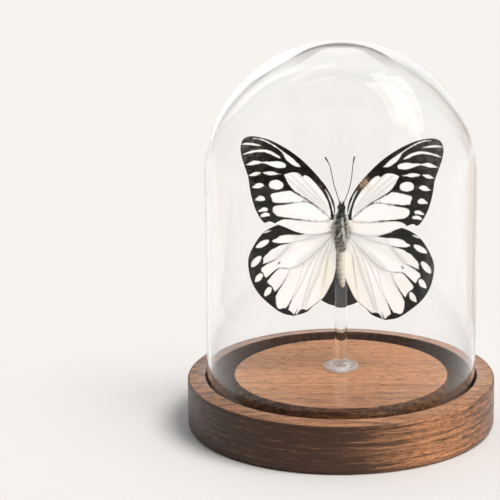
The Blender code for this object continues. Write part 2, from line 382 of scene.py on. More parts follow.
def tube(grid):
    """A closed skin over a grid of points and numbers: rows along, columns round, a fan over each end."""
    ends = [grid[0].mean(axis=0), grid[-1].mean(axis=0)]
    if np.ptp(grid[0, :, :3], axis=0).max() < POINT:
        grid = grid[1:]
    if np.ptp(grid[-1, :, :3], axis=0).max() < POINT:
        grid = grid[:-1]
    rows, around = grid.shape[:2]
    column = np.arange(around)
    after = (column + 1) % around
    first = np.stack([np.full(around, rows * around), after, column], axis=1)
    last = (rows - 1) * around
    final = np.stack([np.full(around, rows * around + 1), last + column, last + after], axis=1)
    return np.vstack([grid.reshape(rows * around, -1), *ends]), [wrapped(rows, around, False), first, final]


def turned(profile, around, centre=(0.0, 0.0)):
    """A profile of (radius, height) carried round the upright axis: x = r cos a, y = r sin a, z = h."""
    angle = np.linspace(0, 2 * np.pi, around, endpoint=False)
    radius, height = profile[:, :1], profile[:, 1:]
    x = centre[0] + radius * np.cos(angle)
    y = centre[1] + radius * np.sin(angle)
    return np.stack([x, y, np.broadcast_to(height, x.shape)], axis=-1)


def arc(radius, height, bend, start, stop, steps):
    """Points of a profile on a circle, angles in degrees from straight out towards straight up."""
    angle = np.radians(np.linspace(start, stop, steps + 1))
    return np.stack([radius + bend * np.cos(angle), height + bend * np.sin(angle)], axis=1)


def run(start, stop, steps):
    """Evenly spaced points of a straight stretch of a profile."""
    return np.linspace(start, stop, steps + 1)


def smooth_path(points, count):
    """Evenly spaced points on the curve that runs smoothly (Catmull-Rom) through the given ones."""
    points = np.array(points, float)
    ends = np.vstack([2 * points[0] - points[1], points, 2 * points[-1] - points[-2]])
    t = np.linspace(0, 1, 12, endpoint=False)[:, None]
    spans = []
    for a, b, c, d in zip(ends, ends[1:], ends[2:], ends[3:]):
        square = (2 * a - 5 * b + 4 * c - d) * t**2
        cube = (3 * b - a - 3 * c + d) * t**3
        spans.append(0.5 * (2 * b + (c - a) * t + square + cube))
    fine = np.vstack([*spans, points[-1:]])
    along = np.concatenate([[0.0], np.cumsum(np.linalg.norm(np.diff(fine, axis=0), axis=1))])
    stops = np.linspace(0, along[-1], count)
    return np.stack([np.interp(stops, along, fine[:, k]) for k in range(fine.shape[1])], axis=1)


def ease(share):
    """0 below 0, 1 above 1 and an S curve between: s * s * (3 - 2 s)."""
    share = np.clip(share, 0, 1)
    return share * share * (3 - 2 * share)


def ramp(value, low, high):
    """0 at low, 1 at high and straight between; low may be the larger."""
    return np.clip((value - low) / (high - low), 0, 1)


def bell(away, width):
    """A soft hump: exp(-(away / width) squared)."""
    return np.exp(-((away / width) ** 2))


def unit(vectors):
    """Vectors brought to length 1."""
    return vectors / np.linalg.norm(vectors, axis=1, keepdims=True)


def ripples(x, y, seed, octaves, scale):
    """Smooth waves between about -1 and 1: sines in seeded directions, each octave finer and weaker."""
    rng = np.random.default_rng(seed)
    total = np.zeros(np.broadcast(x, y).shape)
    for octave in range(octaves):
        for _ in range(3):
            angle, phase = rng.uniform(0, 2 * np.pi, 2)
            pitch = scale * 2.0**octave * rng.uniform(0.8, 1.25)
            total += np.sin(pitch * (x * np.cos(angle) + y * np.sin(angle)) + phase) / 2.0**octave
    return total / RIPPLE_SUM


# Finishes

def walnut(settings):
    """Oiled walnut, its grain along X: wavy growth rings, fibres and short dark pores, with painted shade
    that makes the side and the rim darker to the left.

    On the rim's outer side the grain runs level; the groove and the rim's top to the left are darkened as
    painted shade, and the raised middle is lightened as painted light.
    """
    wood = Finish("walnut", settings.light_wood, 0.42, Coat_Roughness=0.10, IOR=1.5, Specular_IOR_Level=0.34)
    along, across, up = wood.split(wood.place((1 / MM, 1 / MM, 1 / MM)), "XYZ")
    radius = wood.radius()
    middle, groove, outer = settings.plateau_radius, settings.groove_radius, BASE_HIGH[0]
    side = radius.step(outer - 1.2 * MM, outer - 0.4 * MM)
    face = 1.0 - side
    raised = radius.step(middle + 0.2 * MM, middle - 0.2 * MM)
    sunk = radius.step(middle - 0.2 * MM, middle + 0.2 * MM)
    sunk = sunk * radius.step(groove + 0.6 * MM, groove - 0.3 * MM)
    rim = radius.step(groove - 0.8 * MM, groove + 0.5 * MM) * face

    def grain(length, width, offset=(0.0, 0.0, 0.0)):
        """Places squeezed across the grain, and upwards on the side."""
        level = wood.place((length, width, width), offset)
        return wood.mix(side, level, wood.place((length, length * 2, width), offset))

    drift = wood.noise(wood.place((8.0, 24.0, 24.0)), 1.0, 2.0, 0.5)
    fibre = wood.noise(grain(75.0, 1800.0), 1.0, 4.0, 0.78)
    streak = wood.noise(grain(16.0, 420.0, (0.3, 0.1, 0.2)), 1.0, 3.0, 0.65)
    pore = wood.noise(grain(230.0, 2600.0), 1.0, 1.0, 0.4).step(0.56, 0.67)
    ring = (across * face * 0.13 + up * 0.30 + drift * (5.0 - side * 3.0)).math("FRACT")
    band = ring.step(0.0, 0.75) * ring.step(1.0, 0.88)
    depth = band * 0.22 + fibre.step(0.38, 0.62) * 0.40 + streak.step(0.42, 0.62) * 0.28
    # Painted shade: the outer side is darker over its left half, a little darker at its far right end and a
    # little darker overall.
    painted_side_shade = along.step(46.0, -8.0) * 0.66 + along.step(52.0, 74.0) * 0.34 + 0.08
    # Painted shade: the sunk term darkens the groove, and the rim's term darkens the rim's top, most to the
    # left.
    depth = depth + side * painted_side_shade + sunk * 0.85 + rim * (along.step(10.0, -60.0) * 0.16 + 0.06)
    # Painted light: the raised middle is made lighter, most towards the back.
    depth = depth - raised * (across.step(-52.0, 0.0) * 0.36 + 0.03)
    body = wood.mix(depth.math("MINIMUM", 1.0).math("MAXIMUM", 0.0), settings.light_wood, settings.dark_wood)
    body = wood.mix(pore * 0.75, body, (0.020, 0.009, 0.005))
    end_grain = wood.noise(wood.place((1400.0, 1400.0, 40.0)), 1.0, 3.0, 0.7).step(0.45, 0.65)
    # The groove's lighter end-grain speckle is weighted towards the back as painted light.
    lighter = sunk * end_grain * (across.step(-20.0, 40.0) * 0.6 + 0.3)
    wood.set("Base Color", wood.mix(lighter, body, (0.15, 0.075, 0.045)))
    wood.set("Roughness", fibre * 0.20 + pore * 0.2 + 0.26)
    wood.set("Coat Weight", (1.0 - radius.step(groove - 0.3 * MM, outer - 1.5 * MM)) * 0.40)
    wood.bump(fibre * 0.6 - pore, 0.08 * MM, 0.7)
    return wood


def dome_glass(settings):
    """Clear blown glass."""
    glass = Finish("dome_glass", (1.0, 1.0, 1.0), 0.0, Transmission_Weight=1.0, IOR=settings.index)
    glass.set("Specular Tint", settings.gleam)
    smear = glass.noise(glass.place(), 26.0, 3.0, 0.6)
    glass.set("Roughness", smear.step(0.55, 0.85) * 0.012)
    glass.clear_to_lamps((0.985, 0.985, 0.985))
    return glass


def clear_acrylic(settings):
    """Polished clear rod stock, with faint drawing lines."""
    clear = Finish("clear_acrylic", (0.985, 0.985, 0.98), 0.01, Transmission_Weight=1.0, IOR=settings.index)
    lines = clear.noise(clear.place((900.0, 900.0, 12.0)), 1.0, 2.0)
    clear.set("Roughness", lines.step(0.5, 0.9) * 0.05)
    clear.bump(lines, 0.004 * MM, 0.5)
    clear.clear_to_lamps((0.93, 0.93, 0.93))
    return clear


def clouded_acrylic(settings):
    """The foot's acrylic: part clear, part milky, with a polished skin."""
    cloudy = Finish("clouded_acrylic", (0.96, 0.96, 0.96), 0.02, Transmission_Weight=0.80, IOR=settings.index)
    cloud = cloudy.noise(cloudy.place(), 500.0, 2.0)
    cloudy.set("Base Color", cloudy.mix(cloud, (0.88, 0.88, 0.88), (1.0, 1.0, 1.0)))
    cloudy.clear_to_lamps((0.75, 0.75, 0.75))
    return cloudy


def board_finish(settings):
    """Matt charcoal card."""
    board = Finish("charcoal_board", settings.board, 0.7)
    grain = board.noise(board.place(), 2600.0, 3.0)
    cloud = board.noise(board.place(), 160.0, 2.0)
    shade = board.mix(grain * 0.5 + cloud * 0.4, settings.board, (0.060, 0.058, 0.060))
    board.set("Base Color", shade)
    board.bump(grain, 0.03 * MM, 0.6)
    return board


def wing_finish(settings):
    """Dry wing scales: white, cream near the body, and black, feathered along rays that leave the root."""
    wing = Finish("wing_scales", settings.white, 0.72, Specular_IOR_Level=0.12)
    ink = wing.attribute("ink")
    rubbed = wing.attribute("rubbed")
    where = wing.place()
    ray = wing.node("ShaderNodeCombineXYZ", {}, wing.attribute("ray") * 95.0, wing.attribute("far") * 0.55)
    strand = wing.noise(ray, 1.0, 3.0, 0.7)
    feather = wing.noise(where, 1500.0, 3.0, 0.7)
    scales = wing.noise(where, 5200.0, 1.0)
    cloud = wing.noise(where, 420.0, 3.0, 0.6)
    edge = ink + (feather - 0.5) * 0.62 + (strand - 0.5) * 0.75 * wing.attribute("soft")
    dark = edge.step(0.22, -0.16)
    # The grey below is painted shade along the folds and in broad patches, plus real grey streaks along the
    # strands.
    grey = wing.attribute("fold") * (cloud * 0.8 + 0.6) * 0.50 + strand.step(0.56, 0.72) * 0.20
    halo = ink.step(0.75, -0.1) * feather.step(0.42, 0.70)
    pale = wing.mix(wing.attribute("cream"), settings.white, settings.cream)
    for share, tint in (
            (grey.math("MINIMUM", 1.0), (0.36, 0.355, 0.35)),
            (wing.attribute("vein") * (cloud * 0.9 + 0.25), (0.30, 0.29, 0.28)),
            (halo * 0.55, (0.30, 0.29, 0.275)),
            (scales * 0.12, (0.55, 0.54, 0.52))):
        pale = wing.mix(share, pale, tint)
    worn = wing.attribute("worn") * (cloud.step(0.42, 0.66) * 1.1 + feather.step(0.5, 0.7) * 0.4)
    deep = wing.mix(worn.math("MINIMUM", 1.0), settings.black, settings.brown)
    colour = wing.mix(dark, pale, deep)
    colour = wing.mix(rubbed * feather.step(0.38, 0.60), colour, settings.rust)
    wing.set("Base Color", wing.mix(rubbed * feather.step(0.53, 0.60), colour, (0.80, 0.68, 0.52)))
    wing.set("Roughness", 0.85 - dark * 0.15)
    wing.bump(scales * 0.5 + feather * 0.3 + strand * 0.6, 0.03 * MM, 0.7)
    return wing


def hair_finish(settings):
    """Hair and skin of the body, from dark to pale by the number at each point."""
    hair = Finish("body_hair", settings.pale, 0.7)
    speck = hair.noise(hair.place(), 1500.0, 2.0)
    tone = (hair.attribute("tone") + (speck - 0.5) * 0.3).math("MAXIMUM", 0.0, clamp=True)
    shade = hair.mix(tone, settings.dark, settings.pale)
    hair.set("Base Color", hair.mix(hair.attribute("warm"), shade, settings.tan))
    return hair


def abdomen_finish(settings):
    """Cream abdomen with fine scaling, darker between its rings, and darker down its left side as painted
    shade.
    """
    skin = Finish("abdomen_scales", settings.abdomen, 0.6, Sheen_Weight=0.1)
    tone = skin.attribute("tone")
    speck = skin.noise(skin.place(), 3200.0, 2.0)
    shade = skin.mix(tone, (0.085, 0.07, 0.05), settings.abdomen)
    shade = skin.mix(speck.step(0.5, 0.8) * 0.3, shade, (0.86, 0.83, 0.76))
    skin.set("Base Color", shade)
    skin.bump(speck, 0.04 * MM, 0.7)
    return skin


def chitin_finish():
    """Dark satin cuticle of antennae and legs, browner in patches."""
    chitin = Finish("chitin", (0.02, 0.017, 0.015), 0.38)
    speck = chitin.noise(chitin.place(), 1300.0, 2.0)
    chitin.set("Base Color", chitin.mix(speck.step(0.4, 0.8), (0.014, 0.012, 0.011), (0.07, 0.05, 0.038)))
    chitin.set("Roughness", speck * 0.3 + 0.25)
    return chitin


def eye_finish():
    """Dark glossy compound eye, with its facets as fine bumps."""
    eye = Finish("eye", (0.02, 0.012, 0.01), 0.2)
    facets = eye.node("ShaderNodeTexVoronoi", {}, Vector=eye.place(), Scale=9000.0)
    eye.set("Base Color", eye.mix(facets.step(0.2, 0.6), (0.035, 0.02, 0.014), (0.008, 0.006, 0.006)))
    eye.bump(facets, 0.02 * MM, 0.5)
    return eye


def floor_finish(settings):
    """Even matt floor."""
    ground = Finish("studio_floor", settings.floor, 0.9)
    tone = ground.noise(ground.place(), 3.0, 2.0)
    ground.set("Base Color", ground.mix(tone * 0.25, settings.floor, (0.68, 0.68, 0.675)))
    ground.set("Specular IOR Level", 0.0)
    return ground


# Wing outlines and markings, in mm: out from the middle of the body, up from the thorax, and half width.

FOREWING_FRONT = [
    (3.7, 4.0), (3.0, 8.2), (3.6, 12.4), (5.0, 15.9), (7.5, 20.3), (10.0, 23.6), (15.0, 29.4),
    (20.0, 34.3), (25.0, 38.2), (30.0, 41.4), (35.0, 44.0), (40.0, 45.6), (44.0, 46.1), (46.8, 45.4),
    (48.4, 43.4), (49.0, 40.0)]
FOREWING_REAR = [
    (3.7, -1.0), (7.0, -2.2), (12.0, -3.2), (17.0, -3.0), (22.0, -1.8), (26.5, 0.2), (31.0, 1.9),
    (34.5, 3.2), (36.8, 2.5), (39.0, 4.8), (41.5, 9.5), (43.3, 15.0), (44.2, 20.0), (44.9, 25.0),
    (46.6, 30.5), (48.2, 35.5), (49.0, 40.0)]
HINDWING_FRONT = [
    (3.8, 2.6), (10.0, 4.6), (20.0, 3.6), (27.0, 2.2), (33.0, 0.3), (38.0, -3.4), (42.0, -9.4),
    (44.4, -15.5), (44.2, -22.0), (42.6, -28.0), (39.2, -33.8), (34.0, -39.0), (28.0, -43.3),
    (22.0, -44.9)]
HINDWING_REAR = [
    (3.8, -2.6), (2.7, -5.8), (2.0, -10.0), (1.9, -18.0), (2.2, -22.0), (3.0, -26.0), (4.6, -29.6),
    (7.0, -34.4), (9.6, -37.4), (13.0, -40.2), (16.0, -43.0), (22.0, -44.9)]
# How the wings are set: out and up in the specimen, each from (out, up) in these outlines.
LEFT_SETTING = ((1.0, 0.0), (0.0, 1.0))
RIGHT_FOREWING_SETTING = ((1.0, -0.018), (0.0, 1.015))
RIGHT_HINDWING_SETTING = ((1.02, 0.0), (-0.027, 1.01))

# White cells of the forewing with straight or long sides.
FOREWING_CELLS = [
    # discal cell
    [(5.0, 5.6), (5.4, 9.0), (6.8, 13.4), (9.0, 17.4), (11.4, 20.6), (14.2, 23.8), (16.6, 25.8), (18.3, 26.3),
     (18.9, 25.5), (20.2, 26.6), (22.2, 27.7), (24.6, 27.7), (27.0, 27.0), (28.1, 26.3), (27.6, 24.4),
     (26.0, 22.0), (24.2, 19.6), (21.6, 17.2), (18.6, 15.0), (16.0, 13.9), (12.0, 11.0), (8.0, 7.7),
     (5.6, 5.4)],
    # second cell behind the discal cell
    [(24.4, 18.5), (28.0, 18.2), (31.0, 17.5), (33.8, 16.8), (34.0, 15.6), (33.3, 14.0), (33.0, 12.7),
     (29.0, 12.4), (24.0, 12.8), (18.6, 13.3), (20.4, 15.4), (22.6, 17.2)],
    # third cell
    [(6.4, 5.6), (10.0, 8.8), (14.0, 11.6), (18.0, 12.8), (24.0, 12.0), (29.0, 11.3), (32.4, 10.6),
     (33.0, 8.6), (32.2, 7.0), (30.0, 5.8), (26.0, 5.2), (20.0, 4.6), (12.0, 4.0), (5.6, 4.2)],
    # rear cell, open to the wing's rear edge
    [(3.0, 3.0), (12.0, 3.2), (19.0, 3.7), (24.0, 4.3), (28.4, 4.2), (30.6, 3.0), (31.8, 2.2), (30.0, -2.0),
     (20.0, -6.0), (3.0, -4.0)],
]
# White spots and streaks of the forewing.
FOREWING_SPOTS = [
    [(20.5, 30.7, 0.3), (22.6, 31.9, 1.0), (25.3, 34.1, 1.3), (27.4, 36.2, 0.9), (29.0, 38.0, 0.35),
     (31.0, 39.7, 0.28), (34.0, 41.8, 0.35), (37.0, 43.5, 0.38), (40.0, 44.7, 0.3), (43.2, 45.0, 0.15)],
    [(39.3, 41.3, 0.12), (41.5, 41.8, 0.45), (44.0, 42.2, 0.6), (46.5, 42.3, 0.45), (48.3, 42.1, 0.2)],
    [(30.2, 35.2, 0.35), (32.0, 36.3, 0.65), (34.5, 37.7, 0.78), (37.0, 38.6, 0.7), (40.0, 38.8, 0.62),
     (43.0, 38.4, 0.55), (45.5, 37.8, 0.42), (47.8, 36.9, 0.2)],
    [(28.3, 31.2, 1.2), (30.0, 31.6, 1.6), (32.0, 31.9, 1.55), (34.5, 32.3, 1.0), (37.0, 32.8, 0.5),
     (38.8, 32.9, 0.4), (41.0, 32.9, 0.95), (42.5, 32.7, 1.1), (44.5, 32.1, 0.6), (46.2, 31.7, 0.15)],
    [(29.3, 26.9, 0.12), (31.2, 27.1, 0.4), (33.0, 27.3, 0.9), (35.0, 27.4, 1.0), (36.7, 27.5, 0.65),
     (37.8, 27.7, 0.15)],
    [(38.9, 27.6, 0.15), (40.3, 27.3, 0.75), (41.8, 26.9, 0.95), (43.3, 26.5, 0.6), (44.6, 26.2, 0.12)],
    [(30.1, 21.3, 2.0), (31.4, 21.5, 2.45), (32.8, 21.6, 2.2)],
    [(37.6, 21.1, 0.3), (39.0, 21.2, 1.1), (40.2, 20.9, 1.3), (41.6, 20.4, 0.7), (42.9, 20.2, 0.15)],
    [(37.7, 14.2, 1.0), (38.9, 14.5, 1.35), (40.1, 14.1, 0.95), (41.4, 13.6, 0.25)],
    [(36.1, 9.1, 0.85), (37.3, 9.1, 1.0), (38.6, 8.6, 0.7), (39.9, 8.1, 0.15)],
    [(35.0, 6.5, 0.7), (36.5, 6.6, 0.95), (37.8, 6.2, 0.8), (38.8, 5.7, 0.15)],
]
# Dark veins that cross the forewing's white.
FOREWING_LINES = [
    [(24.0, 18.9, 0.12), (27.0, 18.6, 0.18), (30.0, 18.3, 0.35), (33.0, 17.9, 0.5)],
    [(18.5, 13.1, 0.0), (24.0, 12.4, 0.08), (29.0, 11.9, 0.25), (33.0, 11.6, 0.5)],
    [(5.0, 3.6, -0.06), (14.0, 3.6, 0.0), (19.0, 4.1, 0.08), (23.0, 4.7, 0.2), (28.0, 4.9, 0.35),
     (31.0, 4.8, 0.8)],
    [(28.3, 26.4, 0.4), (26.6, 22.8, 0.42), (24.0, 19.1, 0.36), (20.0, 16.2, 0.26), (15.5, 13.3, 0.2),
     (10.5, 9.8, 0.04), (6.2, 6.0, 0.0)],
]
# Pale slits at the forewing's root, between the dark lines and along its rear veins.
FOREWING_SLITS = [
    [(5.2, 5.1, 0.35), (8.0, 7.5, 0.4), (11.0, 10.2, 0.4), (15.0, 12.9, 0.25)],
    [(4.0, 3.5, 0.6), (9.0, 3.6, 0.6), (14.0, 3.7, 0.5), (19.0, 4.1, 0.3), (23.0, 4.7, 0.1)],
    [(3.5, 7.0, 0.3), (4.2, 10.0, 0.42), (5.3, 13.5, 0.4), (6.7, 16.8, 0.3), (8.2, 19.2, 0.12)],
    [(17.5, 13.4, 0.35), (20.0, 13.0, 0.35), (24.0, 12.4, 0.3), (27.0, 12.1, 0.1)],
    [(15.0, 12.9, 0.3), (17.6, 13.9, 0.5), (19.8, 15.2, 0.4), (21.6, 16.8, 0.25)],
]
# Black of the hindwing: the band along its margin, inner side first.
HINDWING_BAND = [
    (17.4, -3.35), (21.0, -3.7), (24.5, -3.6), (27.5, -3.8), (29.6, -4.4), (31.0, -5.6), (32.6, -6.3),
    (33.2, -7.0), (32.0, -7.5), (30.4, -8.0), (30.6, -9.6), (33.4, -11.2), (35.4, -13.3), (36.8, -14.9),
    (37.4, -16.2), (37.2, -17.2), (37.6, -18.8), (38.0, -20.6), (38.2, -22.2), (37.0, -23.4), (36.6, -24.8),
    (35.4, -26.0), (35.2, -27.6), (34.2, -28.8), (33.0, -29.8), (32.0, -31.4), (31.2, -33.4), (31.0, -35.6),
    (30.8, -38.0), (30.2, -40.4), (29.0, -41.4), (27.0, -40.9), (25.2, -41.0), (24.4, -41.9), (23.0, -43.0),
    (22.0, -44.2), (20.8, -44.3), (19.8, -43.0), (18.6, -41.6), (17.0, -41.5), (15.4, -41.8), (12.0, -39.6),
    (9.4, -37.4), (9.0, -38.4), (15.0, -46.0), (24.0, -49.0), (38.0, -46.0), (50.0, -30.0), (50.0, -10.0),
    (38.0, 4.0), (27.0, 3.0), (24.0, -0.6), (20.0, -2.2)]
HINDWING_SPOTS = [
    [(33.7, -1.5, 0.12), (35.0, -2.0, 0.42), (36.4, -2.6, 0.38), (37.1, -3.0, 0.1)],
    [(35.4, -7.0, 0.85), (37.0, -7.9, 1.4), (38.7, -8.9, 1.3), (40.5, -9.9, 0.5)],
    [(39.0, -15.2, 0.9), (40.2, -16.6, 1.5), (41.5, -18.3, 1.45), (42.6, -19.7, 0.6)],
    [(38.5, -24.5, 1.25), (39.4, -25.8, 1.45), (40.7, -27.3, 0.5)],
    [(34.0, -31.1, 1.05), (34.8, -32.7, 1.45), (36.1, -34.4, 0.6)],
    [(27.7, -37.6, 1.4), (28.7, -38.8, 1.45), (29.7, -40.2, 0.6)],
]
HINDWING_LINES = [
    [(24.2, -7.7, 0.06), (27.0, -8.1, 0.28), (29.4, -8.4, 0.55), (31.5, -8.8, 1.0)],
    [(31.4, -16.2, 0.05), (33.5, -17.2, 0.22), (35.6, -18.3, 0.36), (38.0, -19.6, 0.8)],
    [(26.0, -20.5, 0.03), (29.2, -20.5, 0.16), (31.0, -21.6, 0.3), (33.4, -24.0, 0.45), (35.8, -26.6, 0.9)],
    [(26.4, -26.0, 0.03), (28.2, -29.2, 0.2), (29.8, -31.6, 0.35), (31.6, -34.4, 0.8)],
    [(22.4, -34.6, 0.04), (23.4, -37.0, 0.2), (24.4, -39.3, 0.34), (25.6, -41.6, 0.8)],
    [(20.3, -41.4, 0.03), (20.9, -42.8, 0.12), (21.5, -44.4, 0.3)],
    [(29.2, -17.5, 0.22), (29.9, -18.4, 0.3)],
    [(9.2, -37.1, 0.14), (12.4, -39.6, 0.16), (15.6, -42.2, 0.3)],
]
# Veins that stand out of the membrane, in black and white alike.
FOREWING_VEINS = [
    [(4.6, 6.0, 0.3), (5.6, 12.0, 0.3), (8.4, 17.8, 0.3), (13.4, 24.0, 0.3), (19.0, 28.8, 0.28),
     (25.0, 31.6, 0.25), (30.0, 36.2, 0.2), (38.0, 40.4, 0.18), (48.4, 40.4, 0.15)],
    [(3.2, 7.0, 0.35), (4.6, 13.0, 0.35), (9.0, 20.6, 0.32), (16.0, 28.6, 0.3), (24.0, 35.4, 0.25),
     (34.0, 42.5, 0.2), (46.0, 44.2, 0.15)],
    [(25.0, 31.6, 0.22), (29.0, 34.0, 0.2), (36.0, 35.8, 0.18), (48.0, 34.4, 0.15)],
    [(19.0, 28.8, 0.25), (24.0, 28.8, 0.24), (28.6, 28.2, 0.22), (36.0, 30.2, 0.2), (46.2, 29.2, 0.15)],
    [(28.5, 27.4, 0.22), (34.0, 25.4, 0.2), (44.9, 24.0, 0.15)],
    [(28.6, 28.2, 0.22), (28.0, 25.4, 0.24), (24.0, 19.0, 0.26), (15.5, 13.3, 0.3), (6.2, 6.0, 0.32)],
    [(24.0, 18.9, 0.2), (34.0, 18.1, 0.18), (44.0, 18.0, 0.15)],
    [(18.5, 13.1, 0.2), (24.0, 12.4, 0.18), (33.0, 11.6, 0.18), (42.2, 11.6, 0.15)],
    [(5.0, 3.6, 0.26), (14.0, 3.6, 0.22), (23.0, 4.7, 0.2), (31.0, 4.6, 0.18), (38.2, 3.9, 0.15)],
]
HINDWING_VEINS = [
    [(4.2, 0.4, 0.3), (12.0, -1.8, 0.25), (20.0, -2.9, 0.2), (30.0, -1.6, 0.18), (35.0, -0.9, 0.12)],
    [(4.2, -2.6, 0.3), (12.0, -4.8, 0.25), (20.0, -6.6, 0.2), (29.0, -8.4, 0.18), (37.0, -11.6, 0.16),
     (43.4, -12.6, 0.12)],
    [(24.0, -7.6, 0.18), (27.6, -12.4, 0.16), (31.4, -16.2, 0.16), (38.0, -19.7, 0.16), (44.3, -21.8, 0.12)],
    [(4.2, -4.2, 0.3), (11.0, -11.4, 0.25), (17.6, -17.6, 0.2), (24.4, -20.6, 0.18), (29.2, -20.5, 0.16),
     (34.6, -25.2, 0.16), (42.0, -29.6, 0.12)],
    [(24.4, -20.6, 0.18), (26.4, -26.0, 0.16), (30.8, -33.0, 0.16), (36.6, -36.8, 0.12)],
    [(17.6, -17.6, 0.2), (19.6, -26.0, 0.17), (22.6, -35.0, 0.16), (26.4, -43.8, 0.12)],
    [(4.0, -5.6, 0.28), (9.0, -15.0, 0.22), (13.4, -28.0, 0.18), (17.8, -40.6, 0.16), (18.4, -44.2, 0.12)],
    [(3.8, -7.0, 0.25), (6.0, -16.0, 0.2), (8.0, -27.0, 0.16), (9.6, -36.8, 0.12)],
]
# Folds that fan out from the wing roots, drawn as soft grey painted shade.
FOREWING_FOLDS = [
    [(6.6, 9.6, 0.1), (10.0, 14.2, 0.3), (15.0, 20.2, 0.3), (21.0, 26.6, 0.1)],
    [(6.6, 8.0, 0.1), (12.0, 14.2, 0.3), (18.0, 20.2, 0.3), (24.5, 26.4, 0.1)],
    [(7.0, 7.4, 0.1), (13.0, 13.0, 0.25), (20.0, 19.4, 0.3), (26.2, 24.6, 0.1)],
    [(10.0, 10.2, 0.1), (16.0, 15.0, 0.35), (21.0, 18.6, 0.1)],
]
HINDWING_FOLDS = [
    [(6.0, -5.4, 0.1), (11.0, -10.8, 0.25), (17.0, -17.0, 0.3), (23.6, -20.4, 0.25), (28.0, -20.6, 0.1)],
    [(8.0, -3.0, 0.1), (15.0, -5.0, 0.25), (22.0, -7.2, 0.2), (27.0, -12.0, 0.1), (31.0, -15.8, 0.1)],
    [(5.4, -8.0, 0.1), (8.0, -15.0, 0.2), (11.0, -25.0, 0.2), (15.0, -35.0, 0.15), (16.6, -40.6, 0.05)],
    [(7.0, -8.4, 0.1), (11.4, -17.0, 0.2), (14.6, -27.0, 0.2), (18.0, -40.0, 0.1)],
    [(9.0, -10.4, 0.1), (14.4, -18.4, 0.2), (18.0, -27.0, 0.15), (22.0, -35.0, 0.05)],
    [(6.0, -11.0, 0.05), (6.6, -20.0, 0.15), (8.0, -30.0, 0.05)],
    [(24.4, -21.0, 0.05), (26.0, -25.4, 0.1), (28.0, -29.2, 0.05)],
    [(25.0, -8.4, 0.05), (29.0, -13.6, 0.1), (32.4, -16.8, 0.05)],
]
# Broad, shallow patches of painted shade on the hindwing.
HINDWING_PAINTED_SHADE = [
    [(4.6, -4.0, 0.4), (10.0, -9.6, 1.2), (15.0, -14.6, 1.5), (20.0, -18.8, 0.8)],
    [(6.0, -2.4, 0.3), (12.0, -4.4, 0.6), (19.0, -6.2, 0.3)],
    [(21.0, -5.4, 0.2), (26.0, -10.0, 0.4), (30.6, -15.4, 0.2)],
]


def share_along(x, y, dx, dy):
    """How far along the side (dx, dy) the places (x, y) lie, from 0 at its start to 1 at its end."""
    return ((x * dx + y * dy) / max(dx * dx + dy * dy, SHORT)).clip(0, 1)


def stroke_gap(places, path, reach=3.0):
    """Distance from each place to a stroke: the line through the path, swollen by its half width."""
    path = smooth_path(path, 4 * len(path))
    low = path[:, :2].min(axis=0) - reach
    high = path[:, :2].max(axis=0) + reach
    near = np.all((places > low) & (places < high), axis=-1)
    gap = np.full(places.shape[:-1], reach)
    x, y = places[near].T
    best = np.full(len(x), reach)
    for (ax, ay, ar), (bx, by, br) in zip(path, path[1:]):
        dx, dy = bx - ax, by - ay
        share = share_along(x - ax, y - ay, dx, dy)
        away = np.hypot(x - ax - share * dx, y - ay - share * dy)
        best = np.minimum(best, away - ar - share * (br - ar))
    gap[near] = best
    return gap


def outline_gap(places, outline):
    """Signed distance to a smooth closed outline, below 0 inside: nearest side, crossings give the sign."""
    loop = smooth_path([*outline, outline[0]], 5 * len(outline))
    gap = np.full(places.shape[:-1], np.inf)
    inside = np.zeros(places.shape[:-1], bool)
    x, y = np.moveaxis(places, -1, 0)
    for (ax, ay), (bx, by) in zip(loop, loop[1:]):
        dx, dy = bx - ax, by - ay
        share = share_along(x - ax, y - ay, dx, dy)
        gap = np.minimum(gap, (x - ax - share * dx) ** 2 + (y - ay - share * dy) ** 2)
        if ay != by:
            inside ^= ((y < ay) != (y < by)) & (x < ax + (y - ay) * dx / dy)
    return np.where(inside, -1.0, 1.0) * np.sqrt(gap)


def nearest(places, paths):
    """Distance to the closest of several strokes."""
    return np.min([stroke_gap(places, path) for path in paths], axis=0)


def fold_shade(places, paths, blur):
    """Painted grey shade along strokes such as the folds: 1 within a stroke's half width, falling off over
    the blur.
    """
    return bell(nearest(places, paths).clip(0, None), blur)


def rays(x, y, side):
    """The direction of each place from the wing's root, in radians, and its distance in mm."""
    return {"ray": np.arctan2(y, x + 2.0) + 4.0 * side, "far": np.hypot(x, y)}


def forewing_marks(places, side, seed):
    """Numbers for the forewing's finish: black outside the white cells and spots, and along the veins."""
    x, y = np.moveaxis(places, -1, 0)
    white = np.min([outline_gap(places, cell) for cell in FOREWING_CELLS], axis=0)
    white = np.minimum(white, nearest(places, FOREWING_SPOTS + FOREWING_SLITS))
    ink = np.minimum(-white, nearest(places, FOREWING_LINES))
    worn_tip = 0.15 + 0.75 * ramp(x, 36, 44) * ramp(y, 22, 38)
    worn_front = 0.8 * bell(x - 9.0, 4.5) * bell(y - 20.5, 7.0)
    rubbed = bell(x - 11.0, RUBBED_RADIUS) * bell(y - 22.0, RUBBED_RADIUS)
    return {
        "ink": ink + EDGE_WAVE * ripples(x, y, seed, 3, 1.6),
        "worn": np.maximum(worn_tip, worn_front),
        "cream": 0.35 * bell(x - 4.0, 5.0) * bell(y - 2.0, 3.0),
        # Painted grey shade along the folds.
        "fold": 0.6 * fold_shade(places, FOREWING_FOLDS, 0.45),
        "rubbed": rubbed * (side > 0),
        "soft": 0.25 + 0.75 * bell(x - 33.0, 3.0) * (y < 19),
        **rays(x, y - 2.0, side)}


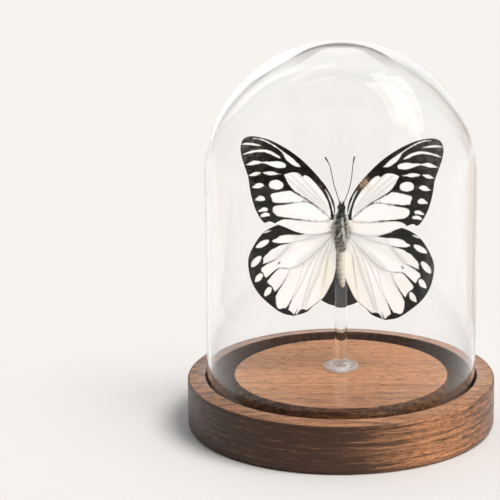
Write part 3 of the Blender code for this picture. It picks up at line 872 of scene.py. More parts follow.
def hindwing_marks(places, side, seed):
    """Numbers for the hindwing's finish: a black margin with white spots, and black fingers along veins."""
    x, y = np.moveaxis(places, -1, 0)
    black = np.minimum(outline_gap(places, HINDWING_BAND), nearest(places, HINDWING_LINES))
    ink = np.maximum(black, -nearest(places, HINDWING_SPOTS))
    # Painted grey shade along the folds and in broad patches.
    folds = 0.8 * fold_shade(places, HINDWING_FOLDS, 0.26)
    broad_shade = 0.5 * fold_shade(places, HINDWING_PAINTED_SHADE, 1.1)
    return {
        "ink": ink + EDGE_WAVE * ripples(x, y, seed, 3, 1.6),
        "worn": 0.1 + 0.5 * ramp(x, 38, 44),
        "cream": 0.45 * bell(x - 6.0, 4.5) * ramp(y, -8, -16) * ramp(y, -42, -32),
        "fold": np.maximum(folds, broad_shade),
        "rubbed": np.zeros(x.shape),
        "soft": 0.25 + 0.5 * ramp(y, -20, -30),
        **rays(x, y + 3.0, side)}


def wing_chart(front, rear, rows, rungs):
    """Places of a wing, in mm: between its front and rear edges, closer together near both."""
    share = np.linspace(0, 1, rungs + 1)
    share = share - 0.3 * np.sin(2 * np.pi * share) / (2 * np.pi)
    fore = smooth_path(front, rows)[:, None]
    aft = smooth_path(rear, rows)[:, None]
    return fore * (1 - share[None, :, None]) + aft * share[None, :, None], share


def set_specimen(local):
    """Turn specimen places in mm (across, back, up) by the roll and stand them at the thorax, in metres."""
    x, y, z = np.moveaxis(local, -1, 0)
    turned_x = x * math.cos(ROLL) + z * math.sin(ROLL)
    turned_z = z * math.cos(ROLL) - x * math.sin(ROLL)
    return np.stack([turned_x, y, turned_z], axis=-1) * MM + THORAX


def wing_grid(settings, side, setting, edges, drop, veins, pleats, marks, seed):
    """A wing as a flat tube: out along its front face and back along its rear one, thin at the edges.

    The veins are ridges on both faces: height * exp(-(distance / 0.28) squared). Returns the grid and the
    names of its numbers.
    """
    places, share = wing_chart(*edges, settings.stations, settings.rungs)
    numbers = marks(places, side, seed)
    x, y = np.moveaxis(places, -1, 0)
    away = nearest(places, veins)
    numbers["vein"] = 0.55 * bell((away + 0.16).clip(0, None), 0.18)
    relief = settings.vein_height / MM * bell(away.clip(0, None), VEIN_SPREAD)
    sway = pleats(x, y) + 0.10 * ripples(x, y, seed + 7, 2, 0.22)
    (out_out, up_out), (out_up, up_up) = setting
    out = x * out_out + y * up_out
    up = x * out_up + y * up_up
    middle = WING_DEPTH + drop + WING_RAISE * out + WING_FLATTEN * out**2 + sway
    half = settings.thickness / MM / 2 * (1 - np.abs(2 * share - 1) ** 10) ** 0.5
    swell = half[None, :] + relief * (half > 0)
    front, rear = (np.dstack([side * out, middle + way * swell, up, *numbers.values()]) for way in (-1, 1))
    skin = np.concatenate([front, rear[:, -2:0:-1]], axis=1)
    return np.dstack([set_specimen(skin[..., :3]), skin[..., 3:]]), list(numbers)


def forewing_pleats(x, y):
    """Shallow valley between the discal cell and the rear edge, in mm."""
    return 0.12 * np.sin(0.42 * (y - 0.55 * x))


def hindwing_pleats(x, y):
    """Pleats that fan from the root, in mm: sin of the angle round the root, growing with distance."""
    angle = np.arctan2(-y - 2.0, x)
    far = np.hypot(x, y)
    return 0.16 * np.clip(far / 30, 0, 1) * np.sin(17 * angle)


# Body, in mm from the middle of the thorax.

BODY_PROFILE = [
    (0.0, 11.8), (0.9, 11.5), (1.45, 10.7), (1.65, 9.6), (1.5, 8.4), (1.2, 7.4), (1.9, 6.0), (2.8, 3.6),
    (3.2, 0.8), (3.15, -2.0), (2.8, -5.4), (2.1, -8.2), (1.55, -9.8)]
ABDOMEN_PROFILE = [
    (1.3, -9.0), (1.6, -10.4), (1.95, -12.5), (2.15, -15.0), (2.2, -18.5), (2.1, -22.0), (1.9, -25.0),
    (1.5, -27.8), (0.9, -29.8), (0.0, -30.6)]
ABDOMEN_RINGS = 8
BODY_AROUND = 64
UNDER_HAIR = 0.6                    # how pale the skin is beside its hair
HAIR_POINTS = 10                    # three rings of three and the tip
FRONT_SHARE = 0.85                  # share of the hairs that grow on the front
HAIR_BACK = 3.3                     # no hair reaches further back, in mm


def body_grid(profile, rows):
    """A spindle carried round the body's axis, in mm: x = r cos a, y = r sin a, z = height."""
    path = smooth_path(profile, rows)
    path[:, 0] = np.clip(path[:, 0], 0, None)
    return np.moveaxis(turned(path, BODY_AROUND), -1, 0)


def thorax_numbers(x, y, z):
    """Tone from 0, dark, to 1, pale, and warmth: a pale stripe right of the middle, pale sides, dark head."""
    stripe = bell(x - 0.9 - 0.05 * (z + 2), 0.55) * (y < 0.5) * ramp(z, 7, 4)
    centre = 0.42 * bell(x + 0.3, 1.3) * ramp(z, 2.5, -1.5)
    flank = 0.75 * ramp(np.abs(x), 2.1, 3.0) * ramp(z, 4, 2)
    warm = 0.75 * bell(z + 9.0, 1.7) + 0.55 * bell(x + 3.0, 1.1) * bell(z + 3, 4.0)
    return np.clip(0.07 + stripe + centre + flank, 0, 1), np.clip(warm, 0, 1)


def make_thorax(finish):
    """Head and thorax skin, lumpy under the hair."""
    x, y, z = body_grid(BODY_PROFILE, 90)
    lumps = 1 + 0.03 * ripples(np.arctan2(y, x) * 3, z, 3, 3, 1.4)
    x, y = x * lumps, y * lumps
    tone, warm = thorax_numbers(x, y, z)
    grid = np.dstack([set_specimen(np.dstack([x, y, z])), tone * UNDER_HAIR, warm])
    new_skin("thorax", grid, finish, "body_hair", ("tone", "warm"), replaced=("butterfly_body",))


def make_abdomen(finish):
    """Abdomen with a shallow groove between its rings: r * (1 - 0.07 exp(-(distance / 0.22) squared))."""
    x, y, z = body_grid(ABDOMEN_PROFILE, 200)
    rings = np.linspace(-11.6, -28.2, ABDOMEN_RINGS)
    bend = 0.13 * np.clip(-z - 20, 0, None)
    x = x + bend + 0.15
    around = np.arctan2(y, x)
    groove = sum(bell(z - ring + 0.15 * np.cos(around), 0.22) for ring in rings)
    shrink = 1 - 0.07 * groove + 0.012 * ripples(around * 2, z, 11, 3, 1.2)
    x, y = x * shrink, y * shrink
    # The tone's rise from left to right is painted shade down the left side.
    tone = 0.08 + 0.98 * ramp(x - bend, -1.7, 1.7) - 0.25 * groove + 0.22 * ripples(x, z, 5, 3, 1.3)
    grid = np.dstack([set_specimen(np.dstack([x, y, z])), np.clip(tone, 0, 1)])
    new_skin("abdomen", grid, finish, "body_hair", ("tone",))


# Tufts: middle, spread and lean (each across and up), length, tone, its variety, warmth, share of the hairs.
TUFTS = [
    (0.0, 10.6, 0.9, 0.9, 0.0, 0.7, 0.7, 0.02, 0.04, 0.0, 0.05),
    (0.0, 7.0, 1.0, 1.2, 0.0, -0.6, 1.2, 0.06, 0.12, 0.0, 0.08),
    (-0.4, 3.6, 1.2, 1.4, 0.0, -0.9, 1.5, 0.12, 0.30, 0.0, 0.08),
    (-1.6, 1.5, 0.5, 2.4, -0.3, -0.9, 1.6, 0.10, 0.25, 0.0, 0.07),
    (2.0, 1.0, 0.4, 2.4, 0.4, -0.9, 1.4, 0.12, 0.30, 0.0, 0.05),
    (0.5, 4.4, 0.16, 0.9, 0.0, -0.9, 1.3, 1.0, 0.05, 0.0, 0.04),
    (0.7, 1.6, 0.16, 1.2, 0.05, -0.9, 1.4, 1.0, 0.05, 0.0, 0.045),
    (1.2, -1.8, 0.2, 1.3, 0.15, -0.9, 1.4, 1.0, 0.05, 0.0, 0.045),
    (1.9, -5.4, 0.25, 1.3, 0.1, -0.9, 1.3, 0.95, 0.10, 0.0, 0.035),
    (-0.6, -2.6, 1.0, 2.4, 0.0, -0.9, 1.4, 0.34, 0.60, 0.15, 0.11),
    (-1.2, -5.6, 1.0, 1.6, -0.1, -0.9, 1.5, 0.30, 0.55, 0.3, 0.07),
    (-2.9, -0.2, 0.4, 2.8, -0.7, -0.6, 1.6, 0.90, 0.20, 0.12, 0.10),
    (2.9, -0.2, 0.4, 2.8, 0.7, -0.6, 1.5, 0.94, 0.20, 0.05, 0.09),
    (-3.2, 0.6, 0.3, 2.0, -1.0, -0.3, 3.2, 0.75, 0.40, 0.55, 0.012),
    (3.2, 0.6, 0.3, 2.0, 1.0, -0.3, 3.0, 0.80, 0.35, 0.45, 0.010),
    (-0.2, -9.0, 1.5, 0.7, 0.0, -0.9, 1.9, 0.45, 0.50, 0.35, 0.07),
    (0.0, 0.0, 1.9, 4.5, 0.0, -0.8, 1.2, 0.14, 0.30, 0.0, 0.05),
]


def hair_skin(roots, tips, sag, radius, tone, warm):
    """Hairs as three-sided spikes along root + t (tip - root) + 4 t (1 - t) sag, thinning to a point."""
    count = len(roots)
    steps = np.array([0.0, 0.4, 0.75])
    way = tips - roots
    ahead = unit(way)
    aside = unit(np.cross(ahead, np.where(np.abs(ahead[:, 2:]) > 0.9, [[1.0, 0, 0]], [[0, 0, 1.0]])))
    other = np.cross(ahead, aside)
    t = steps[None, :, None]
    line = roots[:, None] + t * way[:, None] + 4 * t * (1 - t) * sag[:, None]
    width = radius * (1 - 0.85 * steps)
    angle = np.arange(3) * 2 * np.pi / 3
    ring = np.cos(angle)[:, None] * aside[:, None, None] + np.sin(angle)[:, None] * other[:, None, None]
    rings = line[:, :, None] + width[None, :, None, None] * ring
    points = np.concatenate([rings.reshape(count, 9, 3), tips[:, None]], axis=1).reshape(-1, 3)
    side = np.arange(3)
    after = (side + 1) % 3
    start = (np.arange(count) * HAIR_POINTS)[:, None, None]
    quads = np.concatenate([
        start + np.stack([k + side, k + after, k + 3 + after, k + 3 + side], 1) for k in (0, 3)], axis=1)
    peak = (start + np.stack([6 + side, 6 + after, np.full(3, 9)], 1)).reshape(-1, 3)
    root = start[:, 0] + np.array([[2, 1, 0]])
    numbers = {"tone": np.repeat(tone, HAIR_POINTS), "warm": np.repeat(warm, HAIR_POINTS)}
    return points, [quads.reshape(-1, 4), peak, root], numbers


def make_hair(settings, finish):
    """Seeded tufts of hair over a thin even coat, most of it on the body's front: roots lie on the skin."""
    rng = np.random.default_rng(21)
    tufts = np.array(TUFTS)
    share = np.repeat(np.arange(len(tufts)), (tufts[:, 10] * settings.hairs).astype(int))
    x, up, wide, tall, lean_x, lean_up, length, tone, vary, warm = tufts[share, :10].T
    count = len(share)
    x = x + wide * rng.normal(0, 1, count)
    up = np.clip(up + tall * rng.normal(0, 1, count), -10.4, 11.6)
    path = smooth_path(BODY_PROFILE, 400)
    reach = np.interp(-up, -path[:, 1], path[:, 0])
    x = np.where(np.abs(x) > reach * 0.98, np.sign(x) * reach * rng.uniform(0.8, 0.98, count), x)
    front = np.where(rng.uniform(0, 1, count) < FRONT_SHARE, -1, 1)
    slope = x / reach
    normal = np.stack([slope, front * np.sqrt(1 - np.clip(slope, -1, 1) ** 2), np.zeros(count)], axis=1)
    roots = np.stack([reach * normal[:, 0], reach * normal[:, 1], up], axis=1)
    comb = np.stack([lean_x, 0.5 * normal[:, 1], lean_up], axis=1) + 0.3 * normal
    comb = unit(comb + rng.normal(0, 0.28, (count, 3)))
    length = length * rng.uniform(0.55, 1.35, count)
    tips = roots + comb * length[:, None]
    tips[:, 1] = np.minimum(tips[:, 1], HAIR_BACK)
    sag = (normal + [0, 0, -0.3]) * (0.14 * length)[:, None]
    clump = np.sign(ripples(x, up, 8, 2, 3.2)) * rng.uniform(0.6, 1.0, count)
    tone = np.clip(tone + vary * clump, 0, 1)
    roots = roots * [0.97, 0.97, 1]
    points, faces, numbers = hair_skin(roots, tips, sag, settings.hair_radius / MM, tone, warm)
    new_piece("body_hair", set_specimen(points), faces, finish, "body_hair", numbers)


def new_limb(name, path, radii, around, finish, replaced=()):
    """A round limb along a path, in mm: rings square to the path, with a radius for each row."""
    way = unit(np.gradient(path, axis=0))
    aside = unit(np.cross(way, [0.0, 1.0, 0.0]))
    other = np.cross(aside, way)
    angle = np.linspace(0, 2 * np.pi, around, endpoint=False)
    ring = np.cos(angle)[None, :, None] * aside[:, None] + np.sin(angle)[None, :, None] * other[:, None]
    limb = path[:, None] + radii[:, None, None] * ring
    new_skin(name, set_specimen(limb), finish, "chitin", replaced=replaced)


LEFT_ANTENNA = [
    (0.9, -0.9, 12.1), (2.2, -1.6, 16.5), (3.5, -2.2, 20.5), (4.5, -2.6, 24.5), (5.2, -2.8, 27.8),
    (6.0, -2.9, 31.0), (7.2, -2.9, 33.5), (8.6, -2.8, 35.6)]
RIGHT_ANTENNA = [
    (1.0, -0.9, 12.0), (2.0, -1.5, 15.0), (3.2, -2.0, 18.5), (4.0, -2.3, 22.0), (4.6, -2.5, 26.0),
    (4.9, -2.7, 30.0), (5.2, -2.7, 33.0), (5.8, -2.6, 36.2)]
LEGS = {
    "middle_leg": [
        (3.5, 1.9, 1.5), (4.6, 2.6, 4.4), (5.8, 3.6, 7.0), (5.0, 4.6, 4.0), (4.4, 5.2, 1.2),
        (4.5, 5.3, -2.0)],
    "hind_leg": [
        (3.5, 2.0, -3.0), (4.6, 2.8, -6.4), (5.6, 3.8, -9.5), (4.9, 4.7, -7.2), (4.3, 5.4, -5.2),
        (4.4, 6.2, -8.4)]}
ANTENNA_ROWS = 260
ANTENNA_JOINTS = 38
LEG_ROWS = 90
LEG_STOPS = [0, 0.08, 0.30, 0.42, 0.50, 0.72, 0.78, 1.0]     # shares of a leg's length, with the radii there
LEG_RADII = [0.3, 0.42, 0.36, 0.2, 0.28, 0.2, 0.2, 0.13]
SIDES = ((-1, "left"), (1, "right"))


def make_antennae(finish):
    """Fine jointed feelers, swelling into a slender club, each joint a little wider at its end."""
    along = np.linspace(0, 1, ANTENNA_ROWS)
    for (side, word), path in zip(SIDES, (LEFT_ANTENNA, RIGHT_ANTENNA)):
        line = smooth_path(path, ANTENNA_ROWS) * [side, 1, 1]
        radii = 0.19 + 0.17 * ramp(along, 0.82, 0.94) ** 1.5 + 0.06 * bell(along, 0.02)
        radii = radii * (1 + 0.10 * ((along * ANTENNA_JOINTS) % 1.0))
        radii[-6:] *= np.sqrt(np.linspace(0.9, 0, 6))
        new_limb(f"{word}_antenna_skin", line, radii, 10, finish, replaced=(f"{word}_antenna",))


def make_legs(finish):
    """Folded legs: thigh, shin and foot, narrowed at each joint, the foot in small beads."""
    along = np.linspace(0, 1, LEG_ROWS)
    radii = np.interp(along, LEG_STOPS, LEG_RADII) * (1 + 0.18 * (along > 0.75) * np.sin(along * 90))
    radii[-3:] *= [0.8, 0.5, 0.0]
    for side, word in SIDES:
        for leg, path in LEGS.items():
            line = smooth_path(path, LEG_ROWS) * [side, 1, 1]
            new_limb(f"{word}_{leg}_skin", line, radii, 10, finish, replaced=(f"{word}_{leg}",))


def make_eyes(finish, chitin):
    """Two domed eyes on the sides of the head, two upturned palps and the coiled tongue under them."""
    latitude = np.linspace(0, np.pi, 25)
    ball = np.stack([np.sin(latitude), np.cos(latitude)], axis=1)
    palp = smooth_path([(0.5, 0.6, 10.6), (0.62, 0.3, 12.0), (0.7, -0.1, 13.1)], 30)
    palp_radii = 0.34 * np.sqrt(np.clip(1 - np.linspace(-0.6, 1, 30) ** 4, 0, 1))
    for side, word in SIDES:
        grid = turned(ball, 32) * [0.85, 1.1, 1.2] + [side * 1.15, -0.2, 9.8]
        new_skin(f"{word}_eye", set_specimen(grid), finish, "chitin")
        new_limb(f"{word}_palp", palp * [side, 1, 1], palp_radii, 12, chitin)
    turns = np.linspace(0, 5 * np.pi, 120)
    spiral = 0.95 - 0.045 * turns
    coil = np.stack([0.02 * turns - 0.15, 1.9 + spiral * np.cos(turns), 9.3 + spiral * np.sin(turns)], axis=1)
    new_limb("tongue", coil, np.linspace(0.13, 0.07, 120), 8, chitin)


# Case and stand

def make_base_skin(settings, finish):
    """The turned base: one profile from the middle of its raised top round to the middle of its underside."""
    radius, rim = BASE_HIGH[0], BASE_HIGH[2] - settings.plateau_rise
    top, floor_level = BASE_HIGH[2], rim - settings.groove_depth
    middle, groove, soft = settings.plateau_radius, settings.groove_radius, 0.35 * MM
    top_round, foot_round, lip = settings.top_round, settings.foot_round, rim - settings.rim_fall
    profile = np.vstack([
        run((0.0, top), (middle - soft, top), 40)[:-1], arc(middle - soft, top - soft, soft, 90, 0, 6),
        run((middle, top - soft), (middle, floor_level + soft), 10)[1:],
        arc(middle + soft, floor_level + soft, soft, 180, 270, 4)[1:],
        run((middle + soft, floor_level), (groove - soft, floor_level), 12)[1:],
        arc(groove - soft, floor_level + soft, soft, -90, 0, 4)[1:],
        run((groove, floor_level + soft), (groove, rim - soft), 10)[1:],
        arc(groove + soft, rim - soft, soft, 180, 90, 6)[1:],
        run((groove + soft, rim), (radius - top_round, lip), 8)[1:],
        arc(radius - top_round, lip - top_round, top_round, 90, 0, 10)[1:],
        run((radius, lip - top_round), (radius, foot_round), 16)[1:],
        arc(radius - foot_round, foot_round, foot_round, 0, -90, 8)[1:],
        run((radius - foot_round, 0.0), (0.0, 0.0), 20)[1:]])
    grid = turned(profile, 288)
    x, z = grid[..., 0], grid[..., 2]
    grid[..., 2] -= TOOL_MARK * np.abs(np.sin(x / TOOL_PITCH)) * (np.abs(z - top) < 0.05 * MM)
    new_skin("walnut_base", grid, finish, "walnut", replaced=("wooden_base",))


def make_dome_skin(settings, finish):
    """Blown glass: half sphere over a straight wall, outside and inside, its foot rounded by fire.

    Over the half sphere it is wall + shoulder * S(rise / 0.45 - 0.1) * share - crown * S(2.5 rise - 1.5)
    thick, where the rise goes from 0 at the spring to 1 at the top, S is the S curve, and the share is 1 on
    the left and the right and S(3 rise - 1.7) in front and behind, where it swells only near the top. Slow
    ripples move the inside alone.
    """
    radius, top, foot = DOME_HIGH[0], DOME_HIGH[2], DOME_LOW[2]
    spring, inner, edge = top - radius, radius - settings.wall, settings.wall / 2
    outside = np.vstack([
        arc(0.0, spring, radius, 90, 0, DOME_ROWS),
        run((radius, spring), (radius, foot + edge), WALL_ROWS)[1:],
        arc(radius - edge, foot + edge, edge, 0, -180, 12)[1:],
        run((inner, foot + edge), (inner, spring), WALL_ROWS)[1:]])
    outside[0, 0] = 0.0
    shell = turned(outside, 216)
    rise = np.linspace(0, 1, DOME_ROWS + 1)[1:, None]
    flank = (shell[-1, :, 0] / inner) ** 2
    share = flank + (1 - flank) * ease(rise * 3 - 1.7)
    swell = settings.shoulder * ease(rise / 0.45 - 0.1) * share
    depth = settings.wall + swell - settings.crown * ease(rise * 2.5 - 1.5)
    turn = rise * np.pi / 2
    across = (radius - depth) * np.cos(turn)
    across[-1] = 0.0
    ring = shell[-1, :, :2] / inner
    hollow = np.dstack([across * ring[:, 0], across * ring[:, 1], spring + (radius - depth) * np.sin(turn)])
    grid = np.concatenate([shell, hollow])
    x, y, z = np.moveaxis(grid / radius, -1, 0)
    inside = np.arange(len(grid))[:, None] > len(outside) - WALL_ROWS
    wave = ripples(np.arctan2(y, x), 2.5 * z, 4, 1, 3.0) * np.hypot(x, y) * inside * settings.ripple
    grid[..., 0] -= wave * x
    grid[..., 1] -= wave * y
    new_skin("dome", grid, finish, "dome_glass", replaced=("glass_dome",))


def make_rod(finish):
    """Round clear rod, its top edge rounded."""
    radius, top, seat, soft = ROD_HIGH[0], ROD_HIGH[2], ROD_LOW[2], 0.5 * MM
    profile = np.vstack([
        [(0.0, top)], arc(radius - soft, top - soft, soft, 90, 0, 6),
        run((radius, top - soft), (radius, seat), 60)[1:], [(0.0, seat)]])
    new_skin("rod", turned(profile, 64, ROD_CENTRE), finish, "clear_acrylic", replaced=("support_rod",))


def make_foot(settings, finish):
    """Clear flanged foot: a rounded flange, a fillet, a raised collar and the bore for the rod."""
    outer, top, seat = (FOOT_HIGH[0] - FOOT_LOW[0]) / 2, FOOT_HIGH[2], FOOT_LOW[2]
    collar, flange = settings.collar_radius, seat + settings.flange
    bore, soft = ROD_HIGH[0] + 0.15 * MM, 0.75 * MM
    profile = np.vstack([
        arc(bore + soft / 2, top - soft / 2, soft / 2, 180, 90, 5),
        arc(collar - soft, top - soft, soft, 90, 0, 8), arc(collar + soft, flange + soft, soft, 180, 270, 8),
        arc(outer - soft, flange - soft, soft, 90, 0, 8),
        arc(outer - soft, seat + soft, soft, 0, -90, 8), run((outer - soft, seat), (bore, seat), 8)[1:],
        run((bore, seat), (bore, top - soft / 2), 8)[1:-1]])
    grid = turned(profile, 96, ROD_CENTRE)
    faces = [wrapped(*grid.shape[:2], True)]
    new_piece("foot", grid.reshape(-1, 3), faces, finish, "clear_acrylic", replaced=("rod_foot",))


def make_disc(finish):
    """Backing disc with softened edges, standing upright behind the rod."""
    middle = (DISC_LOW + DISC_HIGH) / 2
    radius, half, _ = (DISC_HIGH - DISC_LOW) / 2
    soft = 0.3 * MM
    profile = np.vstack([
        run((0.0, half), (radius - soft, half), 20)[:-1], arc(radius - soft, half - soft, soft, 90, 0, 6),
        arc(radius - soft, soft - half, soft, 0, -90, 6), run((radius - soft, -half), (0.0, -half), 20)[1:]])
    x, y, z = np.moveaxis(turned(profile, 128), -1, 0)
    new_skin("disc", np.dstack([x, -z, y]) + middle, finish, "charcoal_board", replaced=("backing_disc",))


# Stage

WHITE = (1.0, 1.0, 1.0)
DAYLIGHT = (1.0, 0.98, 0.95)
WARM = (1.0, 0.94, 0.885)
PEACH = (1.0, 0.80, 0.64)
# The window that the glass mirrors: its middle, its two directions, and the pitch and size of its panes.
WINDOW_MIDDLE = np.array([0.62, 0.18, 0.86])
WINDOW_ACROSS = np.array([0.55, -0.75, -0.25])
WINDOW_ALONG = np.array([-0.45, -0.25, 0.40])
PANE_PITCH = (0.27, 0.33)
PANE_SIZE = (0.25, 0.30)
FLOOR_RADIUS = 14.0
# Outline of the dark sheet in front.
FLAG = [(-2.0, -2.4), (2.0, -2.4), (2.0, -0.14), (-0.24, -0.14), (-0.24, 0.10), (-2.0, 0.10)]
# Glowing sheets: how far back the backdrop stands, and where the sheets on the table begin and end.
BACK = 3.0
FAR_FROM = 1.1
SIDE_TO = 1.09
HALF_WIDTH = 2.4
SHEET_RISE = 2 * MM
WALL_EDGE = 0.066                   # where the glass wall's edge is looked past, from the axis
ONLY_CLEAR = ("camera", "diffuse", "glossy", "shadow")
PLAIN = (0.94, 0.91, 0.88)
# Side sheets: which side, the outline, the first tint, then the slopes over which each next tint takes over.
SIDE_SHEETS = {
    "left_table": (
        -1.0, [(-0.09, 0.065), (-0.47, SIDE_TO), (-3.0, SIDE_TO), (-3.0, -0.1)], (0.93, 0.915, 0.90),
        (0.10, 0.22, (1.12, 1.10, 1.07)), (0.24, 0.27, (0.70, 0.67, 0.64)), (0.31, 0.35, (1.12, 1.10, 1.07)),
        (0.95, 1.35, PLAIN)),
    "right_table": (
        1.0, [(0.085, 0.14), (3.0, -0.1), (3.0, SIDE_TO), (0.215, SIDE_TO)], (0.92, 0.90, 0.88),
        (0.09, 0.12, (0.76, 0.715, 0.69)), (0.18, 0.22, (1.06, 0.90, 0.78)), (0.29, 0.33, (0.72, 0.56, 0.45)),
        (0.95, 1.35, PLAIN))}


def lit_group(name):
    """The collection of pieces that a lamp is kept to."""
    return bpy.data.collections.get(name) or bpy.data.collections.new(name)


def hide(thing, kinds):
    """Keep a thing unseen by these kinds of ray."""
    for kind in kinds:
        setattr(thing, "visible_" + kind, False)


def lamp_object(name, lamp, place, turn, hidden, only):
    """Stand a lamp at a place, turned, unseen by the hidden kinds of ray, and kept to one group of pieces."""
    thing = placed(name, lamp)
    thing.matrix_world = Matrix.Translation(place) @ turn.to_matrix().to_4x4()
    hide(thing, ("camera", *hidden))
    if only:
        thing.light_linking.receiver_collection = lit_group(only)


def sun(name, toward, strength, angle, colour, hidden=(), only=None):
    """A soft far lamp in the direction `toward`."""
    lamp = bpy.data.lights.new(name, "SUN")
    lamp.energy, lamp.angle, lamp.color = strength, math.radians(angle), colour
    lamp_object(name, lamp, Vector((0, 0, 1)), Vector(toward).to_track_quat("Z", "Y"), hidden, only)


def card(name, place, across, along, radiance, colour, hidden=(), only=None):
    """A glowing rectangle spanned by two vectors, facing across x along."""
    across, along = Vector(across), Vector(along)
    lamp = bpy.data.lights.new(name, "AREA")
    lamp.shape = "RECTANGLE"
    lamp.size, lamp.size_y, lamp.color = across.length, along.length, colour
    lamp.energy = radiance * math.pi * across.length * along.length
    away = -across.cross(along).normalized()
    turn = Matrix((across.normalized(), away.cross(across.normalized()), away)).transposed().to_quaternion()
    lamp_object(name, lamp, Vector(place), turn, hidden, only)


def make_reflections(settings):
    """What the glass mirrors: a window of six panes, three across and two along, and a long pale streak."""
    for i in (-1, 0, 1):
        for j in (-0.5, 0.5):
            place = WINDOW_MIDDLE + PANE_PITCH[0] * i * WINDOW_ACROSS + PANE_PITCH[1] * j * WINDOW_ALONG
            pane = WINDOW_ACROSS * PANE_SIZE[0], WINDOW_ALONG * PANE_SIZE[1]
            card(f"pane_{i}_{j}", place, *pane, settings.window, DAYLIGHT, ("diffuse",))
    card("streak", (-0.25, 0.40, 0.93), (-0.015, 0.08, -0.057), (0.40, 0.125, 0.07), 1.3, WHITE, ("diffuse",))


def make_lamps(settings):
    """A broad warm key from the right, a fill kept to the specimen and a low peach light kept to the wood."""
    unseen = ("glossy", "transmission")
    sun("key", (0.45, -0.22, 0.86), settings.key, 34.0, WARM, unseen)
    sun("fill", (-0.25, -0.85, 0.45), settings.fill, 50.0, DAYLIGHT, unseen, "specimen")
    across, along = (-0.33, -0.23, 0.0), (0.0, 0.0, 0.3)
    card("kicker", (0.36, -0.52, 0.12), across, along, settings.kicker, PEACH, (), "wood")


def stage_sheet(name, points, faces, finish, hidden=()):
    """Put a mesh on the stage, unseen by the hidden kinds of ray."""
    mesh = bpy.data.meshes.new(name)
    mesh.from_pydata(points, [], faces)
    mesh.materials.append(finish.material)
    sheet = placed(name, mesh)
    hide(sheet, hidden)


def make_floor(settings):
    """A wide flat round floor: rings of x = r cos a, y = r sin a round its middle."""
    rings, around = 7, 64
    radii = np.linspace(0.0, FLOOR_RADIUS, rings + 1)[1:]
    grid = turned(np.stack([radii, np.zeros(rings)], axis=1), around)
    column = np.arange(around)
    middle = np.stack([np.full(around, rings * around), column, (column + 1) % around], axis=1)
    faces = wrapped(rings, around, False)[:, ::-1].tolist() + middle.tolist()
    stage_sheet("floor", [*grid.reshape(-1, 3).tolist(), (0.0, 0.0, 0.0)], faces, floor_finish(settings))


def make_flag():
    """A dark sheet flat in front, out of the picture, that keeps the glass free of the floor's glare."""
    felt = Finish("flag_felt", (0.02, 0.02, 0.02), 0.95)
    nap = felt.noise(felt.place(), 40.0)
    felt.set("Base Color", felt.mix(nap, (0.015, 0.015, 0.015), (0.03, 0.03, 0.03)))
    hidden = ("camera", "transmission", "shadow", "diffuse")
    stage_sheet("flag", [(x, y, MM) for x, y in FLAG], [range(len(FLAG))], felt, hidden)


def wide(low, high):
    """Corners of a broad rectangle between two heights, or two distances."""
    return [(-HALF_WIDTH, low), (HALF_WIDTH, low), (HALF_WIDTH, high), (-HALF_WIDTH, high)]


def glowing_cloth(name):
    """A cloth that only shines."""
    return Finish(name, (0.0, 0.0, 0.0), 1.0, Specular_IOR_Level=0.0, Emission_Strength=1.0)


def make_backdrop():
    """A glowing sheet far behind that only clear pieces show: pale in the middle and dark round it.

    With u = x / 3, v = (z - 0.17) / 3 + 0.306, r = hypot(u, v) and lean = u / r, the dark begins at r = 0.46
    above the middle, further out to each side, and at r = 0.28 low on the right.
    """
    cloth = glowing_cloth("backdrop")
    u, height = cloth.split(cloth.place((1 / BACK, 1.0, 1 / BACK)), "XZ")
    v = height + (0.306 - 0.17 / BACK)
    away = (u * u + v * v) ** 0.5
    lean = u / away
    right = lean.step(0.62, 0.90)
    limit = (lean.step(0.0, 0.40) + lean.step(0.0, -0.40)) * 0.16 - right * 0.34
    limit = limit - lean.step(-0.5, -0.7) * 0.10 + 0.46
    dark = cloth.banded(
        lean, (0.07, 0.05, 0.04), (0.30, 0.46, (0.78, 0.74, 0.69)), (0.60, 0.86, (0.38, 0.28, 0.21)),
        (-0.25, -0.45, (0.66, 0.63, 0.60)))
    pale = cloth.mix(lean.step(-0.2, -0.6) * away.step(0.24, 0.32), (0.97, 0.955, 0.935), (1.25, 1.23, 1.20))
    shade = ((away - limit) / (right * 0.05 + 0.018)).step(-0.7, 1.0)
    cloth.set("Emission Color", cloth.mix(shade, pale, dark))
    stage_sheet("backdrop", [(x, BACK, z) for x, z in wide(0.0, 1.6)], [range(4)], cloth, ONLY_CLEAR)


def make_table_sheets():
    """Table sheets that only clear pieces show: plain far behind, pale on the left, peach on the right.

    To the sides the tint follows (|x| - 0.066) / y, the slope at which the glass wall's edge looks past.
    """
    far = glowing_cloth("far_table")
    cloud = far.noise(far.place(), 3.0)
    far.set("Emission Color", far.mix(cloud, (0.89, 0.875, 0.855), (0.95, 0.935, 0.915)))
    outline = [(x, y, SHEET_RISE) for x, y in wide(FAR_FROM, BACK)]
    stage_sheet("far_table", outline, [range(4)], far, ONLY_CLEAR)
    for name, (side, outline, tint, *bands) in SIDE_SHEETS.items():
        cloth = glowing_cloth(name)
        x, y = cloth.split(cloth.place((side, 1.0, 1.0)), "XY")
        slope = (x - WALL_EDGE) / y.math("MAXIMUM", 0.001)
        cloth.set("Emission Color", cloth.banded(slope, tint, *bands))
        stage_sheet(name, [(x, y, SHEET_RISE) for x, y in outline], [range(4)], cloth, ONLY_CLEAR)


